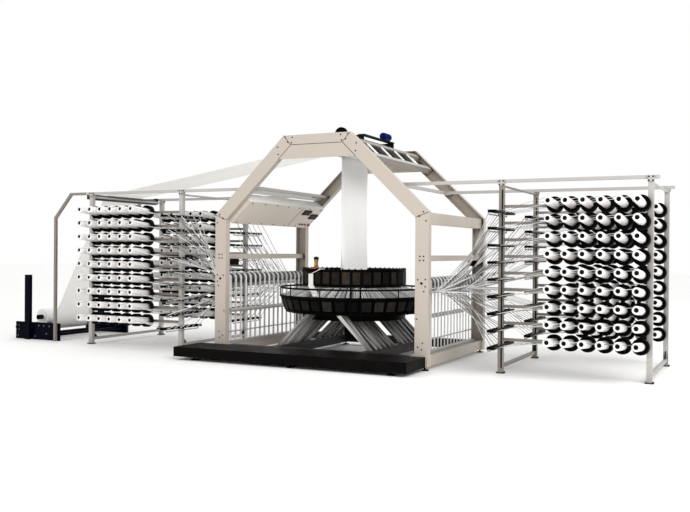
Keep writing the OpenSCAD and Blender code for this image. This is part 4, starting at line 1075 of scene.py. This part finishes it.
class LOOM_OT_lay_warp(bpy.types.Operator):
    """Lays the cone of warp tapes from the guide ring to the heald drum"""

    bl_idname = "loom.lay_warp"
    bl_label = "Lay Warp"

    def execute(self, context):
        sizes = context.scene.loom_sizes
        draw = random.Random(SEED + 3)
        low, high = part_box("warp_sheet")
        outer = (high.x - low.x) / 2
        inner = reach("heald_drum").x / 2 + 3 * MM
        seat = outer - 10 * MM
        widths = (1.1, 1.1, 0.75)
        form = Form()
        for i in range(sizes.warp_tapes):
            a = FULL_TURN * (i + draw.uniform(-0.18, 0.18)) / sizes.warp_tapes
            across = Vector((-math.sin(a), math.cos(a), 0)) * sizes.tape_width
            lift = draw.uniform(1.2, 4.0) * MM
            path = [(outer, low.z + lift), (seat, low.z + lift), (inner, high.z - 6 * MM + lift)]
            form.add(band([around(a, r, z) for r, z in path], [across * w for w in widths], 1 * MM))
        piece("warp_cone", form, "woven_tape", replaces=("warp_sheet",), make=free_tape_painted_shade)
        return {"FINISHED"}


class LOOM_OT_fit_eyelets(bpy.types.Operator):
    """Fits ceramic eyelets, clamp bolts and tape rods to the guide bars"""

    bl_idname = "loom.fit_eyelets"
    bl_label = "Fit Eyelets"

    def execute(self, context):
        creel = context.scene.loom_creel
        outer = context.scene.loom_sizes.eyelet
        small = context.scene.loom_sizes.small_bolt
        wire = outer / 3
        bends = [*turns(6), FULL_TURN]
        ring = lathe([(outer - wire + wire * math.cos(t), wire * math.sin(t)) for t in bends], 12)
        eyelets = Form()
        bolts = Form()
        rods = Form()
        rod = 8 * MM
        under = creel.post / 2 + rod + 0.5 * MM
        bars = [(side, bank, row) for side in SIDES for bank in BANKS for row in range(creel.rows)]
        for side, bank, row in bars:
            drop = Vector((side * (creel.bar_face - under), 0, -38 * MM))
            ends = [bar_place(creel, side, bank, row, share) + drop for share in (0.04, 0.9)]
            rods.add(tube(ends, rod, 10))
            for end in ends:
                rods.add(block_mm(12, 8, 42, 1), Matrix.Translation(end))
            for column in range(creel.columns):
                share = (column + 0.5) / creel.columns
                eyelets.add(ring, aimed(bar_place(creel, side, bank, row, share), (1, 0, 0)))
            for face in WAYS:
                bolts.add(bolt(small), aimed(bar_place(creel, side, bank, row, 0.5, face), (side * face, 0, 0)))
        piece("tape_eyelets", eyelets, "white_paint")
        piece("guide_bar_bolts", bolts, "bright_steel")
        piece("guide_rods", rods, "grey_tube")
        return {"FINISHED"}


class LOOM_OT_join_creels(bpy.types.Operator):
    """Adds the clamps, foot plates and gussets of the creels, and dark strips of painted shade for the slots of the
    right inner posts
    """

    bl_idname = "loom.join_creels"
    bl_label = "Join Creels"

    def execute(self, context):
        creel = context.scene.loom_creel
        small = context.scene.loom_sizes.small_bolt
        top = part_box("creel_posts")[1].z
        clamps = Form()
        plates = Form()
        bolts = Form()
        posts = [(side * x, bank) for side in SIDES for x in (creel.inner_post, creel.outer_post) for bank in BANKS]
        for x, bank in posts:
            foot = loom(x, bank * creel.bank, 0)
            plates.add(block_mm(92, 92, 9, 1.5), Matrix.Translation(foot))
            for dx in WAYS:
                for dy in WAYS:
                    bolts.add(bolt(small), Matrix.Translation(foot + Vector((dx * 37, dy * 37, 9)) * MM))
            joint = loom(x, bank * (creel.bank + 32 * MM), top - 34 * MM)
            clamps.add(block_mm(74, 12, 72, 2), Matrix.Translation(joint))
            for dx in WAYS:
                for dz in (14, 56):
                    bolts.add(bolt(small), aimed(joint + Vector((dx * 22, bank * 6, dz)) * MM, (0, bank, 0)))
            plates.add(gusset(foot + Vector((0, -bank * creel.post / 2, 100 * MM)), bank, 95 * MM))
        # Dark strips down the right inner posts: painted shade standing for the dark inside of an open slot
        slot_shades = Form()
        for bank in BANKS:
            face = loom(creel.inner_post + 14 * MM, bank * creel.bank - creel.post / 2 - 0.5 * MM, 0)
            ends = [face + Vector((0, 0, z)) for z in (60 * MM, top - 80 * MM)]
            slot_shades.add(band(ends, [(18 * MM, 0, 0)] * 2, 1 * MM))
        piece("post_slot_shades", slot_shades, "dark_iron")
        piece("creel_clamps", clamps, "grey_tube")
        piece("creel_feet", plates, "dark_iron")
        piece("creel_bolts", bolts, "dark_iron")
        return {"FINISHED"}


def gusset(corner, bank, side):
    """Triangular plate between a post and the bar at its foot."""
    half_thick = 4 * MM
    outline = [(0, 0), (-bank * side, 0), (0, side)]
    return loft([[corner + Vector((x, y, z)) for y, z in outline] for x in (-half_thick, half_thick)])


class LOOM_OT_bolt_frame(bpy.types.Operator):
    """Bolts the portals, paints the shadow in their seams as dark strips, and caps the ends of the feed rollers' axles
    """

    bl_idname = "loom.bolt_frame"
    bl_label = "Bolt Frame"

    def execute(self, context):
        size = context.scene.loom_sizes.frame_bolt
        post_low, post_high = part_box("front_right_post")
        middle = (post_low.x + post_high.x) / 2 - AXIS.x
        faces = ((post_low.y, -1), (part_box("rear_right_post")[1].y, 1))
        feed = centre("right_feed_roller")
        # Corners of the portals, from the axis, as the solids have them
        tie_z = 1.35
        crown_out = (0.48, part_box("portal_top_beams")[1].z)
        crown_in, filler_low, knee_in = (0.372, 2.798), (0.5585, 2.618), (1.364, 1.841)
        on_post = [(dx * 24, tie_z + dz * 24 * MM) for dx in WAYS for dz in WAYS]
        on_post += [(dx, feed.z + dz * MM) for dx, dz in ((-48, 43.2), (48, 48), (48, -38.4), (28.8, -96))]
        on_post += [(-62, 0.62), (18, 0.335), (-42, 0.285), (8, 0.255), (-40, 1.86), (52, 1.80)]
        on_crown = ((-26, -22), (-62, -88), (-130, -30), (-118, -100))
        on_slope = ((0.05, 0.045), (0.05, 0.12), (1.30, 0.045), (1.24, 0.12))
        places = [(middle + dx * MM, z) for dx, z in on_post]
        places += [(crown_out[0] + dx * MM, crown_out[1] + dz * MM) for dx, dz in on_crown]
        places += [tuple(KNEE + UP_SLOPE * up + INTO_SLOPE * depth) for up, depth in on_slope]
        lines = [((x0 * side, z0), (x1 * side, z1)) for (x0, z0), (x1, z1) in
                 ((KNEE, knee_in), (crown_out, crown_in), (crown_in, filler_low)) for side in SIDES]
        lines.append(((-crown_in[0], crown_in[1]), crown_in))
        cap = lathe_mm([(15, 0), (15, 5), (12, 8), (6, 8), (5, 5)], 24)
        bolts = Form()
        caps = Form()
        seam_shadows = Form()
        for y, way in faces:
            for side in SIDES:
                for x, z in places:
                    bolts.add(bolt(size), aimed(Vector((AXIS.x + side * x, y, z)), (0, way, 0)))
                caps.add(cap, aimed(Vector((AXIS.x + side * (feed.x - AXIS.x), y, feed.z)), (0, way, 0)))
            # Dark strips along the seams: painted shadow of the gaps between the sheets
            for line in lines:
                ends = [Vector((AXIS.x + x, y + way * 0.5 * MM, z)) for x, z in line]
                across = (ends[1] - ends[0]).cross(Vector((0, 1, 0))).normalized() * 6 * MM
                seam_shadows.add(band(ends, [across, across], 1 * MM))
        piece("frame_seam_shadows", seam_shadows, "dark_iron")
        piece("frame_bolts", bolts, "dark_iron")
        piece("axle_caps", caps, "black_plastic")
        return {"FINISHED"}


def span(points, way):
    """Least and greatest distance of points along a direction."""
    values = [p.dot(way) for p in points]
    return min(values), max(values)


class LOOM_OT_dress_control(bpy.types.Operator):
    """Adds the screen bezels, push buttons, covers and screws of the control beam"""

    bl_idname = "loom.dress_control"
    bl_label = "Dress Control"

    def execute(self, context):
        press = next(j for j in frame["joints"] if j["name"] == "stop_press")
        inward = -Vector(press["axis"])
        up = Vector((-inward.z, 0, inward.x))
        beside = Vector((0, 1, 0))
        points = [v.co for v in frame["nodes"]["control_beam"].data.vertices]
        back, face = span(points, inward)
        low_up, high_up = span(points, up)
        middle_up = (low_up + high_up) / 2
        low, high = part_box("control_beam")
        turn = Matrix((beside, up, inward)).transposed().to_4x4()

        def on_face(y, rise):
            return Matrix.Translation(beside * y + up * rise + inward * face) @ turn

        bezels = Form()
        wide, proud, edge = 9 * MM, 15 * MM, 2 * MM
        screens = [v.co for v in frame["nodes"]["control_screens"].data.vertices]
        between = sum(span(screens, beside)) / 2
        for group in ([p for p in screens if p.y < between], [p for p in screens if p.y >= between]):
            (y0, y1), (up0, up1) = span(group, beside), span(group, up)
            y, rise = (y0 + y1) / 2, (up0 + up1) / 2
            for way in WAYS:
                bezels.add(block((wide, up1 - up0 + 2 * wide, proud), edge),
                           on_face(y + way * ((y1 - y0) / 2 + wide / 2), rise))
                bezels.add(block((y1 - y0, wide, proud), edge),
                           on_face(y, rise + way * ((up1 - up0) / 2 + wide / 2)))
        cover_w = 0.62
        cover_y = high.y - cover_w / 2 - 10 * MM
        edges = Form()
        for way in WAYS:
            edges.add(block((12 * MM, high_up - low_up - 20 * MM, 3 * MM), 0.8 * MM),
                      on_face(cover_y + way * cover_w / 2, middle_up))
        screws = Form()
        count, first = 7, 0.09
        for i in range(count):
            y = low.y + first + i * (high.y - low.y - 2 * first) / (count - 1)
            for rise in (low_up + 26 * MM, high_up - 26 * MM):
                screws.add(bolt(context.scene.loom_sizes.small_bolt), on_face(y, rise))
        buttons = Form()
        button = lathe_mm([(17, 0), (17, 5), (14, 7), (12, 7), (12, 12), (10, 13)], 20)
        stop = centre("stop_button")
        for i in range(3):
            buttons.add(button, on_face(stop.y - 0.11 - i * 0.075, stop.dot(up)))
        deep = face - back
        # White enamel cover on the beam's top face; its white also stands for the light falling on that face: painted
        # light
        painted_light_top_cover = Form()
        top_turn = Matrix((beside, -inward, up)).transposed().to_4x4()
        painted_light_top_cover.add(block((high.y - low.y - 6 * MM, deep - 4 * MM, 2 * MM), 0.6 * MM), Matrix.Translation(
            beside * AXIS.y + up * high_up + inward * (back + deep / 2)) @ top_turn)
        piece("control_painted_light_top_cover", painted_light_top_cover, "white_paint")
        piece("screen_bezels", bezels, "black_plastic")
        piece("control_cover_edges", edges, "painted_frame")
        piece("control_screws", screws, "dark_iron")
        piece("push_buttons", buttons, "black_plastic")
        return {"FINISHED"}


class LOOM_OT_dress_roof(bpy.types.Operator):
    """Adds the flanges, rods, boxes and cover of the rack in the right slope"""

    bl_idname = "loom.dress_roof"
    bl_label = "Dress Roof"

    def execute(self, context):
        up = upright(UP_SLOPE)
        out = -upright(INTO_SLOPE)
        plates = [v.co for v in frame["nodes"]["roof_plates"].data.vertices if v.co.x > AXIS.x]
        low_up, high_up = span(plates, up)
        tall = high_up - low_up
        face = span(plates, out)[1]
        turn = Matrix((Vector((0, 1, 0)), up, -out)).transposed().to_4x4()

        def on_rack(y, rise, lift):
            return Matrix.Translation(Vector((0, y, 0)) + up * rise + out * (face + lift)) @ turn

        half = reach("control_beam").y / 2
        flanges = Form()
        for share in (-0.72, -0.3, 0.12, 0.54):
            flanges.add(block((74 * MM, tall, 8 * MM), 1.5 * MM),
                        on_rack(AXIS.y + share * half, low_up + tall / 2, 9 * MM))
        rods = Form()
        for rise in (0.36, 0.62):
            middle = up * (low_up + rise * tall) + out * (face - 30 * MM)
            rods.add(tube([middle + Vector((0, AXIS.y + way * half, 0)) for way in WAYS], 11 * MM, 14))
        boxes = Form()
        for share in (-0.51, -0.09, 0.33):
            boxes.add(block((0.27 * half, 0.72 * tall, 60 * MM), 4 * MM),
                      on_rack(AXIS.y + share * half, low_up + 0.52 * tall, 5 * MM))
        cover = Form()
        cover.add(block((2 * half, 62 * MM, 3 * MM), 0.8 * MM), on_rack(AXIS.y, low_up - 30 * MM, 14 * MM))
        piece("rack_flanges", flanges, "white_paint")
        piece("rack_rods", rods, "dark_iron")
        piece("rack_boxes", boxes, "black_plastic")
        piece("rack_cover", cover, "grey_tube")
        return {"FINISHED"}


def curved_panels(count, low, high, thick):
    """Panels round the head between two circles, given as (radius, height)."""
    form = Form()
    for i in range(count):
        bends = [FULL_TURN * (i + 0.5 + t) / count for t in (-0.36, 0, 0.36)]
        rings = []
        for share in (0.16, 0.5, 0.84):
            r = low[0] + (high[0] - low[0]) * share
            z = low[1] + (high[1] - low[1]) * share
            rings.append([around(a, r, z) for a in bends] + [around(a, r + thick, z) for a in bends[::-1]])
        form.add(loft(rings))
    return form


class LOOM_OT_dress_head(bpy.types.Operator):
    """Adds the panels, knobs, bolts and rail grip of the weaving head, and the lid and base of the oil cup"""

    bl_idname = "loom.dress_head"
    bl_label = "Dress Head"

    def execute(self, context):
        small = context.scene.loom_sizes.small_bolt
        drum_r = reach("heald_drum").x / 2
        drum_low, drum_top = (p.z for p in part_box("heald_drum"))
        rim_r = reach("warp_guide_ring").x / 2
        ring_z, rim_z = (p.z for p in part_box("warp_guide_ring"))
        flange_r = reach("drive_housing").x / 2
        flange_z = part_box("drive_housing")[0].z + 90 * MM
        ring_count, panel_count, knob_count = 36, 32, 54
        knobs = Form()
        knob = lathe_mm([(9, 0), (9, 8), (6, 13)], 10)
        for a in turns(knob_count, 0.5):
            knobs.add(knob, Matrix.Translation(around(a, drum_r - 14 * MM, drum_top)))
        bolts = Form()
        for a in turns(ring_count, 0.5):
            out = (math.cos(a), math.sin(a), 0)
            bolts.add(bolt(small), aimed(around(a, rim_r, rim_z - 13 * MM), out))
            bolts.add(bolt(small), aimed(around(a, flange_r - 20 * MM, flange_z), (0, 0, -1)))
        panels = curved_panels(ring_count, (flange_r, ring_z), (rim_r - 18 * MM, rim_z - 26 * MM), 5 * MM)
        # Set back from the drum's widest rim, so that the panels sit on its face
        rib_r = drum_r - 2.5 * MM
        skin = curved_panels(panel_count, (rib_r, drum_low), (rib_r, drum_top), 3 * MM)
        piece("ring_panels", panels, "dark_iron", make=scuffed_panel_painted_sheen)
        piece("drum_panels", skin, "dark_iron", make=oiled_panel_painted_sheen)
        piece("drum_knobs", knobs, "black_paint")
        piece("head_bolts", bolts, "dark_iron")
        cup = centre("oil_cup")
        cup_low, cup_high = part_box("oil_cup")
        r = (cup_high.x - cup_low.x) / 2
        profile = [(0.9, -14), (1.14, -13), (1.14, 14), (0.95, 20), (0.4, 20), (0.3, 27)]
        lid = Form()
        lid.add(lathe([(share * r, z * MM) for share, z in profile], 24, caps=True),
                Matrix.Translation(Vector((cup.x, cup.y, cup_high.z))))
        piece("oil_cup_lid", lid, "black_plastic")
        base = Form()
        base.add(block_mm(70, 46, 26, 3), Matrix.Translation(Vector((cup.x - 40 * MM, cup.y, cup_low.z))))
        piece("oil_cup_base", base, "red_plastic")
        # The rail's wire of 9 mm radius runs 100 mm above the ring
        rail_z = rim_z + 100 * MM
        reaches = [(v.co - AXIS).xy.length for v in frame["nodes"]["guard_rail"].data.vertices
                   if abs(v.co.z - rail_z) < 10 * MM]
        rail_r = max(out for out in reaches if out < rim_r) - 9 * MM
        grip = Form()
        grip.add(tube([around(a, rail_r, rail_z) for a in (*turns(96), FULL_TURN)], 13.5 * MM, 12))
        piece("rail_grip", grip, "black_plastic")
        return {"FINISHED"}


class LOOM_OT_dress_winder(bpy.types.Operator):
    """Adds the bearings and bolts of the winder"""

    bl_idname = "loom.dress_winder"
    bl_label = "Dress Winder"

    def execute(self, context):
        small = context.scene.loom_sizes.small_bolt
        face = reach("right_winder_drum").y / 2 + 0.5 * MM
        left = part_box("winder_frame")[0].x
        bolt_circle = 42 * MM
        on_frame = ((0.05, 0.05), (0.05, 0.22), (0.42, 0.05), (0.5, 0.22), (0.66, 0.1), (0.72, 0.22), (0.86, 0.05),
                    (0.88, 0.22), (0.6, 0.22))
        flange = lathe_mm([(18.5, 0), (52, 0), (52, 10), (48, 13), (34, 13), (30, 30), (19, 32), (18.5, 0)], 32, False)
        bearings = Form()
        bolts = Form()
        for drum in (centre("right_winder_drum"), centre("left_winder_drum")):
            for way in WAYS:
                place = Vector((drum.x, AXIS.y + way * face, drum.z))
                bearings.add(flange, aimed(place, (0, way, 0)))
                for a in turns(4, 0.5):
                    offset = upright(bolt_circle * ray(a)) + Vector((0, way * 12 * MM, 0))
                    bolts.add(bolt(small * 0.8), aimed(place + offset, (0, way, 0)))
        for way in WAYS:
            for x, z in on_frame:
                bolts.add(bolt(small), aimed(Vector((left + x, AXIS.y + way * face, z)), (0, way, 0)))
        piece("winder_bearings", bearings, "dark_iron")
        piece("winder_bolts", bolts, "bright_steel")
        return {"FINISHED"}


# Stage

def area_light(name, place, target, size, power):
    """Large soft light aimed at a point."""
    data = bpy.data.lights.new(name, "AREA")
    data.shape = "RECTANGLE"
    data.size, data.size_y = size
    data.energy = power
    lamp = bpy.data.objects.new(name, data)
    lamp.rotation_euler = (target - place).to_track_quat("-Z", "Y").to_euler()
    lamp.location = place
    bpy.context.scene.collection.objects.link(lamp)


class LOOM_OT_set_stage(bpy.types.Operator):
    """Sets the pale floor, the soft lights and the camera"""

    bl_idname = "loom.set_stage"
    bl_label = "Set Stage"

    def execute(self, context):
        scene = context.scene
        stage = scene.loom_stage
        half = stage.floor_size / 2
        # Just below the feet, so that the two never share a plane
        floor_z = -1 * MM
        mesh = bpy.data.meshes.new("floor")
        mesh.from_pydata([(x * half, y * half, floor_z) for x, y in ((-1, -1), (1, -1), (1, 1), (-1, 1))], [],
                         [(0, 1, 2, 3)])
        mesh.materials.append(made_once(painted_floor))
        floor = bpy.data.objects.new("floor", mesh)
        scene.collection.objects.link(floor)
        world = bpy.data.worlds.new("soft_room")
        world.use_nodes = True
        sky = world.node_tree.nodes["Background"]
        sky.inputs["Color"].default_value = (1, 1, 1, 1)
        sky.inputs["Strength"].default_value = stage.sky
        scene.world = world
        target = loom(0, 0, 1.3)
        light_size = (8, 5)
        area_light("key_light", loom(9, -6, 7), target, light_size, stage.key)
        area_light("fill_light", loom(-7, -11, 5), target, light_size, stage.fill)
        view = Vector((-math.sin(stage.yaw) * math.cos(stage.pitch), math.cos(stage.yaw) * math.cos(stage.pitch),
                       -math.sin(stage.pitch)))
        level = Vector((math.cos(stage.yaw), math.sin(stage.yaw), 0))
        rise = level.cross(view)
        right = level * math.cos(stage.roll) + rise * math.sin(stage.roll)
        up = rise * math.cos(stage.roll) - level * math.sin(stage.roll)
        data = bpy.data.cameras.new("photo_camera")
        data.lens = stage.lens
        data.sensor_width = 36
        data.clip_end = 500
        camera = bpy.data.objects.new("photo_camera", data)
        turn = Matrix((right, up, -view)).transposed().to_4x4()
        camera.matrix_world = Matrix.Translation(loom(*stage.camera_place)) @ turn
        scene.collection.objects.link(camera)
        scene.camera = camera
        scene.view_settings.view_transform = "Standard"
        return {"FINISHED"}


class LOOM_PT_panel(bpy.types.Panel):
    """Lists the loom's operators and settings"""

    bl_idname = "LOOM_PT_panel"
    bl_label = "Circular Loom"
    bl_space_type = "VIEW_3D"
    bl_region_type = "UI"
    bl_category = "Loom"

    def draw(self, context):
        for step in STEPS:
            self.layout.operator(step.bl_idname)
        for name in SETTINGS:
            group = getattr(context.scene, name)
            box = self.layout.box()
            for prop in group.bl_rna.properties:
                if prop.identifier not in ("rna_type", "name"):
                    box.prop(group, prop.identifier)


STEPS = (
    LOOM_OT_set_stage, LOOM_OT_paint_solids, LOOM_OT_weave_tube, LOOM_OT_lead_cloth, LOOM_OT_wind_cloth,
    LOOM_OT_wind_bobbins, LOOM_OT_draw_tapes, LOOM_OT_hang_ribbons, LOOM_OT_lay_warp, LOOM_OT_fit_eyelets,
    LOOM_OT_join_creels, LOOM_OT_bolt_frame, LOOM_OT_dress_control, LOOM_OT_dress_roof, LOOM_OT_dress_head,
    LOOM_OT_dress_winder,
)
SETTINGS = {"loom_colours": LoomColours, "loom_sizes": LoomSizes, "loom_creel": CreelSizes,
            "loom_stage": StageSettings}


def register():
    for group in SETTINGS.values():
        bpy.utils.register_class(group)
    for name, group in SETTINGS.items():
        setattr(bpy.types.Scene, name, bpy.props.PointerProperty(type=group))
    for step in (*STEPS, LOOM_PT_panel):
        bpy.utils.register_class(step)


def unregister():
    for step in (LOOM_PT_panel, *reversed(STEPS)):
        bpy.utils.unregister_class(step)
    for name in SETTINGS:
        delattr(bpy.types.Scene, name)
    for group in SETTINGS.values():
        bpy.utils.unregister_class(group)


def main():
    register()
    for step in STEPS:
        group, name = step.bl_idname.split(".")
        getattr(getattr(bpy.ops, group), name)()


if __name__ == "__main__":
    main()
